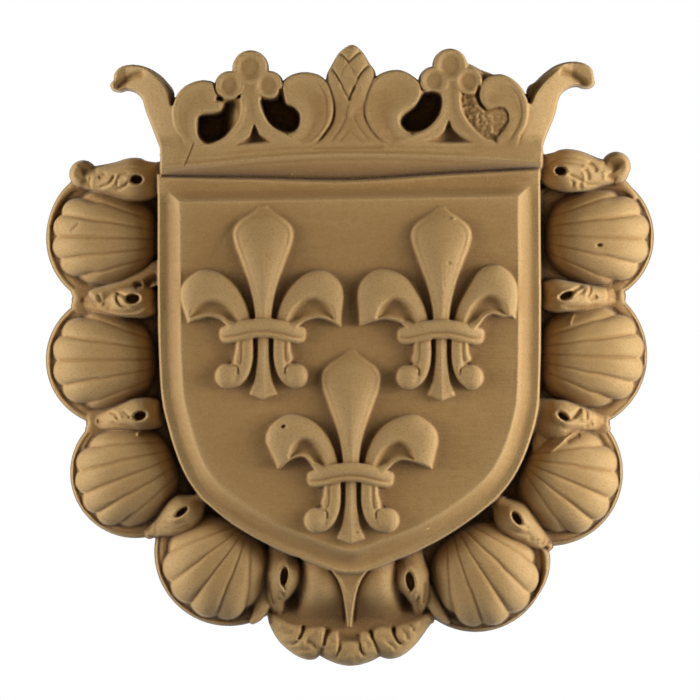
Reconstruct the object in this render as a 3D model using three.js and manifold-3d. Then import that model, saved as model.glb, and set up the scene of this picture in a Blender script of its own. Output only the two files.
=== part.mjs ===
// A moulded heraldic onlay: a shield with three lilies under an open crown, ringed by scallop shells
// and small leaf scrolls. It is one solid with a flat back, made to be fixed to a door, a mantel or a wall.
// Millimetres. X is to the right, Z is up and the front faces -Y. The origin is on the flat back.
// Points are written as [x, z], and a height is the distance of the surface in front of the back.

import * as THREE from "three";
import { mergeVertices } from "three/addons/utils/BufferGeometryUtils.js";
import Module from "manifold-3d";

const wasm = await Module();
wasm.setup();

// Heights of the main surfaces in front of the back.
const PLATE_HEIGHT = 4; // the thin ground between the forms
const RIM_HEIGHT = 7.2; // the thin rim round each shell
const CROWN_FLOOR = 9; // the bottom of the openings in the crown
const SHELL_HEIGHT = 26; // the top of a scallop shell
const BORDER_HEIGHT = 29.5; // the outer band round the field
const FIELD_HEIGHT = 34; // the flat face of the shield
const CROWN_HEIGHT = 37; // the face of the crown's band

// The shield's outline goes through these points, down each side to its point.
const SHIELD_TOP_LEFT = [-80.3, 74.3];
const SHIELD_TOP_RIGHT = [79.8, 77.5];
const SHIELD_POINT = [0.3, -91.5];
const SHIELD_LEFT = [SHIELD_TOP_LEFT, [-79.8, 0], [-76, -30], [-64.5, -57], [-40, -76.2], SHIELD_POINT];
const SHIELD_RIGHT = [SHIELD_POINT, [40, -76], [65.5, -55.8], [77.3, -30], [80, 0], SHIELD_TOP_RIGHT];
const SHIELD_STEPS = 12;
const BORDER_WIDTH = 9;

// The border in section: share of its width inwards, and height.
const BORDER_PROFILE = [
  [0, 0],
  [0, BORDER_HEIGHT - 1],
  [0.08, BORDER_HEIGHT],
  [0.42, BORDER_HEIGHT + 0.2],
  [0.72, BORDER_HEIGHT + 1.2],
  [0.9, FIELD_HEIGHT - 1.4],
  [1, FIELD_HEIGHT],
];

// The thin ground that closes the gaps round the shield.
const GROUND = [
  [-82, 78], [-84, -20], [-70, -60], [-45, -80], [0, -90], [45, -80], [70, -60], [83, -20], [83, 80],
];

// The lilies, each about the middle of its band. The other sizes are pairs, for the left and the right side
// petal: how far out it reaches, how high it rises, where its tip hangs, and where its hook's ball lies.
const LILIES = [
  { centre: [-36, 10.5], reach: [34.4, 33.6], crest: [24.8, 24.7], tip: [3.6, 1.6], ball: [14.8, 13.5] },
  { centre: [38.3, 10], reach: [35, 31.8], crest: [26, 27.4], tip: [2.4, 5.4], ball: [13.3, 12.2] },
  { centre: [0.6, -49.7], reach: [35.2, 36.2], crest: [24.8, 24.4], tip: [2.6, 2.6], ball: [14.6, 14.7] },
];

// A lily's upright parts as rows [across, up, half width, middle, edge], with heights above the field.
const LILY_PETAL = [
  [0, 4, 3.5, 5.5, 3.5], [0, 14, 4.6, 5.8, 3.4], [0, 23, 7.2, 6, 3.3], [0, 32, 10.8, 6, 3],
  [0, 39.5, 12.2, 5.4, 2.7], [0, 45.5, 9.6, 3.8, 1.8], [0, 50.8, 0.9, 1, 0.6],
];
const LILY_STEM = [
  [0, -3, 2.5, 5, 2.6], [0, -16, 2.8, 5, 2.6], [0, -23, 4.3, 4.4, 2], [0, -26.6, 5.4, 3.6, 1.6],
  [0, -29, 0.8, 2, 1.4],
];
const LILY_HOOK = [
  [8, -4, 4.2, 5, 2.8], [8, -14.5, 4, 5, 2.8], [8.6, -18.8, 3, 5, 2.8], [11.5, -21.6, 2.7, 4.6, 2.6],
  [15, -22.2, 2.2, 4, 2.4],
];
const BALL_RADIUS = 5.6;
const BALL_DROP = 18.7;

// Across a side petal: share of the way from its outer to its inner edge, and how far the surface there is
// from the outer edge's height (0) to the roll's crest (1), or below the edge (less than 0).
const SIDE_SECTION = new Map([[0, 0], [0.26, 1], [0.55, 0.4], [0.74, -0.6], [1, -0.3]]);
const SIDE_CREST = 5.4;
const SIDE_EDGE = 2.9;

// The shells, from the top down on each side. rim is the round plate's radius and aim the direction in
// degrees from the hinge to the lip. The dome's middle lies forward of the plate's, and it reaches back and
// half its width to the sides. Its grooves fan out from a point that lies hinge behind its middle, and they
// are spacing degrees apart.
const SHELLS = [
  { centre: [-97.9, 49], rim: 29.2, aim: 178.4, forward: 5, back: 24, half: 19.4, hinge: 43, spacing: 9.1 },
  { centre: [-99.6, -2], rim: 27.6, aim: 180.8, forward: 4, back: 23, half: 20.2, hinge: 42, spacing: 10.6 },
  { centre: [-89.8, -49.4], rim: 27.2, aim: 202, forward: 4, back: 22, half: 20.6, hinge: 41, spacing: 9.8 },
  { centre: [-50.7, -82.5], rim: 31, aim: 233.7, forward: 7, back: 20, half: 22.4, hinge: 23, spacing: 17 },
  { centre: [99.7, 49.6], rim: 27.8, aim: -2.6, forward: 5, back: 23, half: 19.8, hinge: 39, spacing: 11.1 },
  { centre: [93.3, -0.1], rim: 31.4, aim: -2.4, forward: 7, back: 22, half: 21.2, hinge: 35.6, spacing: 11 },
  { centre: [83.9, -49.3], rim: 30.6, aim: -23.4, forward: 8, back: 20, half: 22, hinge: 24, spacing: 16.1 },
  { centre: [52.9, -86], rim: 30, aim: -57.5, forward: 6.3, back: 21, half: 22.2, hinge: 31, spacing: 14.1 },
];
const SHELL_SIDES = 20;
const RIM_WIDTH = 2.6;
const LIP_GAP = 2.7; // from the rim's edge to the dome's lip
const LIP_HEIGHT = 12;
const HINGE_HEIGHT = 5;
const RIB_PARTS = [0, 0.5]; // the points across a rib, the groove first
const RIB_DEPTH = 1.5;
const RIB_PLACES = [0, 0.2, 0.5, 0.82, 1]; // the points along a rib, from the hinge to the lip
const LOBE_DEPTH = 1.7; // how far the lip draws in at a groove
const DOME_SQUARENESS = 2.3;

// The leaf scrolls between the shells. Each runs from its head beside the shield to its tail, with half its
// width at the eye and at the tail. bend moves its belly sideways, and eye is [x, z, half length, half width,
// turn in degrees]. The two uppermost end in a round knob [x, z, radius].
const LEAVES = [
  {
    head: [-79, 74.6],
    tail: [-111, 74],
    half: 9.2,
    tailHalf: 5,
    knob: [-111.8, 75.9, 5.6],
    eye: [-89.5, 73, 2.7, 2.1, 0],
  },
  { head: [-80, 23], tail: [-116, 22.8], half: 7.2, eye: [-90.5, 23.2, 2.5, 1.8, 0] },
  { head: [-79, -23.5], tail: [-110.6, -29.5], half: 7.2, eye: [-88, -25.3, 2.6, 1.8, 15] },
  { head: [-63, -62], tail: [-85, -75.8], half: 8, eye: [-70, -65.5, 2.7, 1.1, 35] },
  { head: [-30, -83], tail: [-32, -109], half: 8, bend: -2, eye: [-27.2, -92.5, 3.6, 1.5, 83] },
  {
    head: [80, 78],
    tail: [111, 76.2],
    half: 8.9,
    tailHalf: 5,
    knob: [111.9, 79.2, 5.8],
    eye: [88.5, 77, 2.6, 1.8, 0],
  },
  { head: [80, 24.5], tail: [115.3, 24.5], half: 7, eye: [90.5, 25.5, 2.4, 1.6, 0] },
  { head: [80, -24], tail: [109, -29.5], half: 7, eye: [90, -26, 2.5, 1.7, -25] },
  { head: [64, -62], tail: [86, -81], half: 8, eye: [70, -68, 2.8, 1.4, -55] },
  { head: [27, -84], tail: [31.6, -109], half: 8, bend: 2, eye: [25.3, -94, 3.7, 1.8, 95] },
];
const LEAF_TAIL_HALF = 1.7;
const LEAF_HEIGHT = 24.5;
const LEAF_HEAD_HEIGHT = 20;
const LEAF_TAIL_HEIGHT = 8;
const KNOB_HEIGHT = 15;
const LEAF_SHOULDER = 0.62; // height of a leaf's edge as a share of its middle
const EYE_DEPTH = 8;

// The crown's band: the crease over the shield, the band's lower edge and its top.
const BAND_CREASE = [[-78.5, 75], [-40, 73.4], [0, 73.2], [40, 75.3], [80.5, 77.5]];
const BAND_EDGE = [[-79, 77], [-52, 79.8], [-25, 81.7], [0, 82.4], [27, 82.3], [54, 81.1], [81, 79.4]];
const BAND_TOP = [[-79.3, 88.5], [0, 89.5], [81.3, 89.5]];
const BAND_STEPS = 6;
const CROWN_GROUND = [
  [-78, 76], [-75.5, 104], [-66, 111], [-48, 110], [-41.5, 116], [-34, 110], [-18, 115], [-9, 112],
  [0, 116], [10, 112], [20, 116], [34, 112], [42, 117], [50, 112], [64, 113], [75, 106], [79, 78],
];

// The horns at the crown's ends, between their outer and their inner edge, from the band to the tip.
const HORNS = [
  {
    outer: [[-79.2, 82], [-82, 90], [-85.2, 99], [-87.3, 106], [-90.5, 110.2], [-95, 110.9], [-99.3, 112.4]],
    inner: [[-68, 86], [-71.5, 93], [-74, 101.5], [-76, 112.5], [-83.5, 119.3], [-92, 121.4], [-99.6, 115.2]],
  },
  {
    outer: [[81.2, 82], [82.6, 91], [85.6, 100.5], [87.8, 107.5], [91, 111.3], [96, 112.3], [101, 113]],
    inner: [[68, 86], [71.5, 93], [75, 103.5], [77.5, 111], [85, 119.6], [94, 122.6], [102.4, 118]],
  },
];

// The crown's four C-scrolls: a curved band and a round head.
const SCROLLS = [
  {
    outer: [[-61.5, 114.8], [-68, 113.2], [-72.8, 108.5], [-74.3, 102.5], [-73, 95.5], [-70, 90], [-66, 87]],
    inner: [[-62, 108], [-63, 104.5], [-63.6, 101], [-63.8, 98], [-63.6, 95], [-62.3, 91.5], [-59.5, 88]],
    head: [-61.6, 107.4],
    radius: 7.4,
  },
  {
    outer: [[-19, 118.4], [-11.5, 116], [-7.3, 110], [-6.4, 102.5], [-8.5, 95.5], [-13, 90], [-18, 87]],
    inner: [[-21, 110], [-20.6, 106], [-20.8, 102], [-21.2, 98], [-22.8, 94.8], [-26, 92.6], [-30, 88.8]],
    head: [-21.4, 110.9],
    radius: 7.5,
  },
  {
    outer: [[20, 119.3], [12.3, 117], [7.6, 111], [6.1, 103.5], [8, 95.8], [12.2, 90.5], [17, 87]],
    inner: [[21, 111], [20.5, 106], [20.7, 102], [21.2, 98], [23, 94.6], [26, 93], [30, 89.2]],
    head: [22.3, 111.6],
    radius: 7.7,
  },
  {
    outer: [[62.5, 117.5], [69, 115.6], [73.6, 110], [74.8, 103], [73, 95.8], [69, 90], [65, 86.8]],
    inner: [[62, 108], [64.3, 104], [66.3, 100.5], [66.4, 97.5], [64.8, 94], [63, 91], [60, 88]],
    head: [61.9, 109.8],
    radius: 7.7,
  },
];

// The crown's two trefoils: three lobes [x, z, radius] on a stem that spreads into two arms.
const TREFOILS = [
  {
    lobes: [[-41.5, 120.2, 7.4], [-50.4, 112.8, 6.1], [-33.6, 113, 6]],
    stem: [[-41.2, 99], [-41.3, 116]],
    arms: [
      {
        outer: [[-45.2, 105], [-46, 99], [-49, 94.3], [-54.5, 90.3], [-61, 88]],
        inner: [[-40.2, 104], [-40.6, 97], [-42, 92.6], [-44.6, 89.6], [-48.5, 86.8]],
      },
      {
        outer: [[-37.2, 105], [-36, 99.8], [-32.6, 95.8], [-27, 93.2], [-20, 90]],
        inner: [[-40.2, 104], [-40, 97], [-38.7, 92.8], [-36.2, 90], [-32.5, 87.8]],
      },
    ],
  },
  {
    lobes: [[42.1, 121.2, 7.1], [35.3, 114.6, 6.2], [49.8, 114.3, 5.9]],
    stem: [[41.9, 99], [42, 116]],
    arms: [
      {
        outer: [[38, 106], [36, 100.5], [31.5, 96.4], [26, 94], [19, 91]],
        inner: [[41.6, 105], [41.4, 98.3], [39.6, 93.8], [36, 91.2], [31, 88.6]],
      },
      {
        outer: [[46.4, 106], [47.4, 101.5], [50, 97.3], [53.8, 93.6], [59, 89.5]],
        inner: [[41.7, 105], [42, 98.3], [44, 94], [47, 91.2], [52, 88]],
      },
    ],
  },
];
const STEM_HALF = 4.2;

// The bud in the crown's middle and the leaf that hangs below it.
const BUD = [
  [1, 129.9], [-3.8, 127], [-7, 122], [-9.6, 115.5], [-7, 106], [0, 97], [7.5, 106], [10.8, 117], [8, 122.5],
  [5, 127.3],
];
const BUD_SPINE = [[0.5, 104], [0.6, 121]];
const LEAF_SIDE = [[-4.5, 111], [-5.6, 103], [-6.5, 97.5], [-10, 92], [-17, 88]];

// The rough old filling that closes the crown's last opening.
const FILLING = [
  [47, 108.5], [55, 107.5], [58.5, 102], [66.5, 101.5], [66.5, 96], [63, 90.5], [57, 90.5], [50, 97],
];
const FILLING_SPINE = [[54, 101], [60, 97]];

// The shell under the shield's point: the edge of its ground, its bowl, its keel and the lobes of its lip.
const PENDANT_EDGE = [
  [-31, -84], [-35, -100], [-34.2, -111], [-31.5, -117], [-27, -122], [-21.5, -126], [-17, -127.6],
  [-12.4, -126], [-8, -128], [0, -129.8], [8, -128.3], [12.6, -126.2], [17, -127.3], [22, -125.8],
  [28, -120.5], [33.5, -114], [35.5, -111], [35, -100], [31, -84],
];
const BOWL_TOP = -85;
const BOWL_BOTTOM = -120;
const BOWL_HALF = [30, 31.5, 32, 29, 25]; // half its width, from its top to its bottom
const BOWL_HEIGHTS = [22, 23.5, 23, 20.5, 16, 12, 9];
const BOWL_VALLEY = 0.45; // height at the sides as a share of the height at the middle
const KEEL = [
  [0, -88, 8.4, 25, 27], [-0.2, -96, 5, 24.3, 25.6], [0, -104, 2.6, 21.5, 21.8], [0.2, -113.4, 0.9, 15, 14.6],
];

// Each lobe of the lip: its middle, half width, lowest level and how far it leans outwards.
const LOBES = [
  [-25, 5.4, -120.5, -1.5], [-15.8, 5, -127, -1], [-7.8, 2.9, -127, -0.4], [0, 4.7, -129.7, 0],
  [8, 3, -127.2, 0.4], [16, 4.9, -126.8, 1], [25.5, 5.4, -119.5, 2],
];
const LOBE_TOP = -112.5;

// Down a lobe: share of its length, share of its lean, share of its width, and heights of middle and edge.
const LOBE_ROWS = [[0, 0, 0.85, 12, 8], [0.4, 0.5, 1, 16.5, 12], [0.8, 0.8, 1, 13, 8.5], [1, 1, 0.6, 6, 4]];

const mix = (a, b, t) => a + (b - a) * t;
const clamp01 = (t) => Math.min(1, Math.max(0, t));
const smooth = (t) => clamp01(t) ** 2 * (3 - 2 * clamp01(t));
const radians = (degrees) => (degrees * Math.PI) / 180;
const count = (size) => Array.from({ length: size }, (_, i) => i);

// A smooth line through the given rows of numbers, read at t from 0 to 1.
function through(rows, closed = false) {
  const last = closed ? rows.length : rows.length - 1;
  const row = (i) => (closed ? rows.at(i % rows.length) : rows[Math.min(last, Math.max(0, i))]);
  return (t) => {
    const i = Math.min(last - 1, Math.floor(clamp01(t) * last));
    const f = clamp01(t) * last - i;
    const [a, b, c, d] = [row(i - 1), row(i), row(i + 1), row(i + 2)];
    return b.map((value, k) => {
      const start = (c[k] - a[k]) / 2;
      const end = (d[k] - value) / 2;
      const rise = c[k] - value;
      return value + start * f + (3 * rise - 2 * start - end) * f * f + (start + end - 2 * rise) * f * f * f;
    });
  };
}

function signedArea(loop) {
  return loop.reduce((sum, [x, z], i) => {
    const [nextX, nextZ] = loop[(i + 1) % loop.length];
    return sum + (x * nextZ - nextX * z) / 2;
  }, 0);
}

// Triangles that fill a loop, turned the same way round as the loop.
function fill(loop) {
  const faces = THREE.ShapeUtils.triangulateShape(loop.map(([x, z]) => new THREE.Vector2(x, z)), []);
  const facesArea = faces.reduce((sum, face) => sum + signedArea(face.map((i) => loop[i])), 0);
  return facesArea * signedArea(loop) > 0 ? faces : faces.map(([a, b, c]) => [a, c, b]);
}

// A solid from a closed geometry, turned outside out if its faces point inwards.
function solidFrom(geometry) {
  const bare = geometry.index ? geometry.toNonIndexed() : geometry.clone();
  bare.deleteAttribute("normal");
  bare.deleteAttribute("uv");
  const merged = mergeVertices(bare, 1e-4);
  const vertProperties = merged.attributes.position.array;
  const build = (triVerts) => new wasm.Manifold(new wasm.Mesh({ numProp: 3, vertProperties, triVerts }));
  const order = new Uint32Array(merged.index.array);
  const made = build(order);
  return made.volume() > 0 ? made : build(order.reverse());
}

// A closed solid from points [x, z, height] and triangles.
function solidOf(points, triangles) {
  const geometry = new THREE.BufferGeometry();
  const corners = triangles.flat().flatMap((i) => [points[i][0], -points[i][2], points[i][1]]);
  geometry.setAttribute("position", new THREE.Float32BufferAttribute(corners, 3));
  return solidFrom(geometry);
}

// A solid made of rings of equal count from the back to the front, each point [x, z, height].
function stack(rings) {
  const size = rings[0].length;
  const triangles = fill(rings[0]).map(([a, b, c]) => [a, c, b]);
  for (let ring = 0; ring < rings.length - 1; ring++) {
    for (const i of count(size)) {
      const [a, b] = [ring * size + i, ring * size + ((i + 1) % size)];
      triangles.push([a, b, b + size], [a, b + size, a + size]);
    }
  }
  const last = (rings.length - 1) * size;
  triangles.push(...fill(rings.at(-1)).map((face) => face.map((i) => i + last)));
  return solidOf(rings.flat(), triangles);
}

// A solid under a grid of points [x, z, height], with upright walls down to the given base.
function slab(rows, base) {
  const across = rows[0].length;
  const points = rows.flat();
  const triangles = [];
  for (let i = 0; i < rows.length - 1; i++) {
    for (let j = 0; j < across - 1; j++) {
      const [a, b] = [i * across + j, (i + 1) * across + j];
      triangles.push([a, a + 1, b + 1], [a, b + 1, b]);
    }
  }
  const firstRow = count(across);
  const lastColumn = count(rows.length).slice(1).map((i) => i * across + across - 1);
  const lastRow = firstRow.slice(0, -1).map((j) => (rows.length - 1) * across + j).reverse();
  const firstColumn = count(rows.length).slice(1, -1).map((i) => i * across).reverse();
  const border = [...firstRow, ...lastColumn, ...lastRow, ...firstColumn];
  const foot = points.length;
  points.push(...border.map((i) => [points[i][0], points[i][1], base]));
  border.forEach((top, k) => {
    const next = (k + 1) % border.length;
    triangles.push([border[next], top, foot + k], [border[next], foot + k, foot + next]);
  });
  const faces = fill(border.map((i) => points[i]));
  triangles.push(...faces.map(([a, b, c]) => [foot + a, foot + c, foot + b]));
  return solidOf(points, triangles);
}

// The point of a spine, a list of points, that lies nearest to the given one.
function nearestOn(spine, [x, z]) {
  const found = spine.slice(1).map(([bx, bz], i) => {
    const [ax, az] = spine[i];
    const along = clamp01(((x - ax) * (bx - ax) + (z - az) * (bz - az)) / ((bx - ax) ** 2 + (bz - az) ** 2));
    return [mix(ax, bx, along), mix(az, bz, along)];
  });
  const away = (point) => Math.hypot(x - point[0], z - point[1]);
  return found.reduce((best, point) => (away(point) < away(best) ? point : best), spine[0]);
}

// A rounded mound on a closed outline. Each level is [share of the way out from the spine, height].
function mound(outline, spine, levels, base) {
  const middles = outline.map((point) => nearestOn(spine, point));
  const ring = ([share, height]) =>
    outline.map(([x, z], i) => [mix(middles[i][0], x, share), mix(middles[i][1], z, share), height]);
  return stack([[1, base], ...levels].map(ring));
}

function dome([x, z], radius, sides, levels, base) {
  const outline = count(sides).map((i) => {
    const turn = (2 * Math.PI * i) / sides;
    return [x + radius * Math.cos(turn), z + radius * Math.sin(turn)];
  });
  return mound(outline, [[x, z]], levels, base);
}

// A band between two smooth edges. The surface at t along it and share s across it has the height (t, s).
function strip(left, right, steps, shares, height, base) {
  const [one, other] = [through(left), through(right)];
  const rows = count(steps + 1).map((step) => {
    const t = step / steps;
    const [a, b] = [one(t), other(t)];
    return shares.map((s) => [mix(a[0], b[0], s), mix(a[1], b[1], s), height(t, s)]);
  });
  return slab(rows, base);
}

// A rounded band along a middle line of rows [x, z, half width, height of the middle, height of the edge].
function ribbon(line, steps, shares, base) {
  const along = through(line);
  const rows = count(steps + 1).map((step) => {
    const t = step / steps;
    const [x, z, half, middle, edge] = along(t);
    const [before, after] = [along(t - 0.01), along(t + 0.01)];
    const [dx, dz] = [after[0] - before[0], after[1] - before[1]];
    const long = Math.hypot(dx, dz);
    return shares.map((s) => {
      const side = 2 * s - 1;
      const rise = Math.sqrt(1 - side ** 2);
      return [x - (dz / long) * half * side, z + (dx / long) * half * side, mix(edge, middle, rise)];
    });
  });
  return slab(rows, base);
}

// Moves every point of a loop inwards by the same distance, with mitred corners.
function inset(loop, distance) {
  const turn = Math.sign(signedArea(loop));
  const unit = (from, to) => {
    const long = Math.hypot(to[0] - from[0], to[1] - from[1]);
    return [(to[0] - from[0]) / long, (to[1] - from[1]) / long];
  };
  return loop.map((point, i) => {
    const before = unit(loop.at(i - 1), point);
    const after = unit(point, loop[(i + 1) % loop.length]);
    const [nx, nz] = [-(before[1] + after[1]) * turn, (before[0] + after[0]) * turn];
    const scale = (2 * distance) / (nx ** 2 + nz ** 2);
    return [point[0] + nx * scale, point[1] + nz * scale];
  });
}

const withHeight = (loop, height) => loop.map(([x, z]) => [x, z, height]);

// A flat plate of the given outline, from the back up to its height.
function plate(outline, height) {
  return stack([withHeight(outline, 0), withHeight(outline, height)]);
}

function shield() {
  const side = (points) => count(SHIELD_STEPS).map((i) => through(points)(i / SHIELD_STEPS));
  const outline = [...side(SHIELD_LEFT), ...side(SHIELD_RIGHT), SHIELD_TOP_RIGHT];
  return stack(
    BORDER_PROFILE.map(([share, height]) => withHeight(inset(outline, share * BORDER_WIDTH), height)),
  );
}

// One lily on the field: a tall petal, two side petals that curl down, a band, two hooks and a stem.
function lily({ centre, reach, crest, tip, ball }) {
  const place = ([u, v]) => [centre[0] + u, centre[1] + v];
  const raised = ([u, v, half, middle, edge]) =>
    [...place([u, v]), half, FIELD_HEIGHT + middle, FIELD_HEIGHT + edge];
  const foot = FIELD_HEIGHT - 1;
  const parts = [
    ribbon(LILY_PETAL.map(raised), LILY_PETAL.length - 1, [0, 0.5, 1], foot),
    ribbon(LILY_STEM.map(raised), LILY_STEM.length - 1, [0, 0.5, 1], foot),
    lilyBand(place, foot),
  ];
  for (const [side, hand] of [-1, 1].entries()) {
    const mirrored = ([u, v]) => place([hand * u, v]);
    parts.push(sidePetal(mirrored, { reach: reach[side], crest: crest[side], tip: tip[side], foot }));
    const hook = LILY_HOOK.map(([u, ...others]) => raised([hand * u, ...others]));
    parts.push(ribbon(hook, LILY_HOOK.length - 1, [0, 0.5, 1], foot));
    const levels = [[1, FIELD_HEIGHT + 3.2], [0.6, FIELD_HEIGHT + 6.2]];
    parts.push(dome(mirrored([ball[side], -BALL_DROP]), BALL_RADIUS, 8, levels, foot));
  }
  return parts;
}

// A side petal springs from the band, rises, rolls outwards and hangs down to its tip.
function sidePetal(mirrored, { reach, crest, tip, foot }) {
  const outer = [
    [5, 3.5], [8.5, 14], [15, crest - 2.8], [0.68 * reach, crest], [0.9 * reach, crest - 3.3],
    [reach, 0.6 * crest], [0.98 * reach, 0.32 * crest], [0.965 * reach, tip],
  ];
  const inner = [
    [13.5, 0.5], [15.5, 3], [18, 4.8], [0.64 * reach, 5.3], [0.74 * reach, 4.8], [0.83 * reach, 4.1],
    [0.885 * reach, mix(4.1, tip, 0.6)], [0.93 * reach, tip + 0.1],
  ];
  const surface = (t, s) => {
    const flattening = 1 - smooth((t - 0.7) / 0.3);
    const section = SIDE_SECTION.get(s);
    const level = section < 0 ? section * flattening : section;
    const thinning = mix(0.55, 1, 1 - smooth((t - 0.5) / 0.5));
    return FIELD_HEIGHT + (SIDE_EDGE + level * (SIDE_CREST - SIDE_EDGE)) * thinning;
  };
  return strip(outer.map(mirrored), inner.map(mirrored), 6, [...SIDE_SECTION.keys()], surface, foot);
}

// The band that ties the petals: a bowed roll that is lower at its edges and its ends.
function lilyBand(place, foot) {
  const upper = [[-17.9, 1.4], [-9, 4], [0, 4.7], [9, 4], [17.9, 1.2]];
  const lower = [[-17.6, -5], [-9, -4.4], [0, -3.8], [9, -4.4], [17.6, -5.1]];
  const bow = (t, s) => {
    const edge = s === 0 || s === 1 ? 2.2 : 0;
    return FIELD_HEIGHT + mix(4.4, 7.4, Math.sin(Math.PI * t)) - edge;
  };
  return strip(upper.map(place), lower.map(place), 4, [0, 0.22, 0.65, 1], bow, foot);
}

// A scallop shell: a round plate with a thin rim, and a ribbed dome whose ribs fan out from a hinge.
function scallop(shell) {
  const { centre, rim, aim, forward, back, half, hinge, spacing } = shell;
  const section = [[0, 0], [rim, 0], [rim, RIM_HEIGHT], [rim - RIM_WIDTH, PLATE_HEIGHT], [0, PLATE_HEIGHT]];
  const profile = section.map(([radius, height]) => new THREE.Vector2(radius, -height));
  const disc = new THREE.LatheGeometry(profile, SHELL_SIDES).translate(centre[0], 0, centre[1]);

  const axis = [Math.cos(radians(aim)), Math.sin(radians(aim))];
  const middle = [centre[0] + axis[0] * forward, centre[1] + axis[1] * forward];
  const place = ([p, q, height]) => [
    middle[0] + axis[0] * p - axis[1] * q,
    middle[1] + axis[1] * p + axis[0] * q,
    height,
  ];
  const widest = 0.96 * Math.atan2(half, Math.sqrt(hinge ** 2 - back ** 2));
  const grooves = [-widest, ...[-2, -1, 0, 1, 2].map((step) => step * radians(spacing)), widest];
  const rib = (from, to) => RIB_PARTS.map((part) => [mix(from, to, part), part]);
  const rays = grooves.slice(1).flatMap((groove, i) => rib(grooves[i], groove));
  rays.push([widest, 1]);
  const reach = rim - LIP_GAP - forward;
  const sizes = { reach, back, half, hinge };
  const rows = rays.map(([turn, part]) => ray(turn, Math.abs(2 * part - 1), sizes).map(place));
  return [solidFrom(disc), slab(rows, PLATE_HEIGHT - 2)];
}

// The points of the dome along one line from the hinge, in the shell's own axes. edge is 1 at a groove.
function ray(turn, edge, { reach, back, half, hinge }) {
  const pointAt = (s) => [s * Math.cos(turn) - hinge, s * Math.sin(turn)];
  const radiusAt = (s) => {
    const [p, q] = pointAt(s);
    const [along, across] = [Math.abs(p) / (p > 0 ? reach : back), Math.abs(q) / half];
    return (along ** DOME_SQUARENESS + across ** DOME_SQUARENESS) ** (1 / DOME_SQUARENESS);
  };
  const far = hinge + reach;
  const samples = count(60).map((i) => (far * i) / 60);
  const core = samples.reduce((best, s) => (radiusAt(s) < radiusAt(best) ? s : best));
  // Halves the stretch from the core to a place outside the dome until it ends on the dome's edge.
  const border = (outside) => {
    let [inner, outer] = [core, outside];
    for (let i = 0; i < 30; i++) {
      const middle = (inner + outer) / 2;
      [inner, outer] = radiusAt(middle) < 1 ? [middle, outer] : [inner, middle];
    }
    return inner;
  };
  const start = Math.max(0.5, border(0));
  const end = border(far + 1) - LOBE_DEPTH * edge ** 2.5;
  return RIB_PLACES.map((place) => {
    const s = mix(start, end, place);
    const [p, q] = pointAt(s);
    const radius = Math.min(1, radiusAt(s));
    const facing = p / Math.hypot(p, q, 1e-6);
    const low = mix(HINGE_HEIGHT, LIP_HEIGHT, 0.5 + 0.5 * facing);
    const height = mix(low, SHELL_HEIGHT, (1 - radius ** 2.6) ** 0.55);
    return [p, q, height - RIB_DEPTH * edge ** 3 * smooth((1 - radius) * 6 + 0.35)];
  });
}

// A leaf's body, with its eye pierced into it.
function leaf({ head, tail, half, tailHalf = LEAF_TAIL_HALF, bend = 0, knob, eye }) {
  const [dx, dz] = [tail[0] - head[0], tail[1] - head[1]];
  const long = Math.hypot(dx, dz);
  const tailHeight = knob ? KNOB_HEIGHT : LEAF_TAIL_HEIGHT;
  const row = ([t, belly, thinning, sinking]) => {
    const width = mix(half * mix(0.6, 1, belly), tailHalf, thinning);
    const height = mix(mix(LEAF_HEAD_HEIGHT, LEAF_HEIGHT, belly), tailHeight, sinking);
    const [x, z] = [mix(head[0], tail[0], t), mix(head[1], tail[1], t)];
    const aside = bend * belly * (1 - sinking);
    return [x - (dz / long) * aside, z + (dx / long) * aside, width, height, height * LEAF_SHOULDER];
  };
  // Rows of place along the leaf, fullness of its belly, and how far it has thinned and sunk.
  const rows = [[0, 0, 0, 0], [0.28, 1, 0, 0], [0.55, 1, 0.45, 0.25], [0.8, 1, 0.8, 0.65], [1, 1, 1, 1]];
  const [x, z, eyeHalf, eyeWidth, turn] = eye;
  const bore = new THREE.CylinderGeometry(1, 1, EYE_DEPTH * 2, 6);
  bore.scale(eyeHalf, 1, eyeWidth);
  bore.rotateY(-radians(turn));
  bore.translate(x, -LEAF_HEIGHT, z);
  const body = ribbon(rows.map(row), 5, [0, 0.25, 0.75, 1], 0).subtract(solidFrom(bore));
  if (!knob) return [body];
  const levels = [[1, KNOB_HEIGHT * LEAF_SHOULDER], [0.8, KNOB_HEIGHT], [0.5, KNOB_HEIGHT - 1.5]];
  return [body, dome(knob, knob[2], 10, levels, 0)];
}

// The crown: a band over the shield, two horns, four scrolls, two trefoils on stems and a bud.
function crown() {
  const parts = [crownBand(), plate(CROWN_GROUND, CROWN_FLOOR)];
  const shares = [0, 0.15, 0.4, 0.8, 1];
  for (const { outer, inner } of HORNS) parts.push(strip(outer, inner, 6, shares, hornHeight, 0));
  for (const scroll of SCROLLS) parts.push(...crownScroll(scroll));
  for (const trefoil of TREFOILS) parts.push(...crownTrefoil(trefoil));
  parts.push(...bud(), filling());
  return parts;
}

// The crown's band, with the slope that falls from it to the shield.
function crownBand() {
  const [crease, edge, top] = [BAND_CREASE, BAND_EDGE, BAND_TOP].map((line) => through(line));
  const rows = count(BAND_STEPS + 1).map((step) => {
    const t = step / BAND_STEPS;
    const [low, bend, high] = [crease(t), edge(t), top(t)];
    return [
      [...low, BORDER_HEIGHT - 0.5],
      [...bend, CROWN_HEIGHT - 0.9],
      [bend[0], bend[1] + 1.3, CROWN_HEIGHT + 0.2],
      [...high, CROWN_HEIGHT - 0.4],
    ];
  });
  return slab(rows, 0);
}

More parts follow.
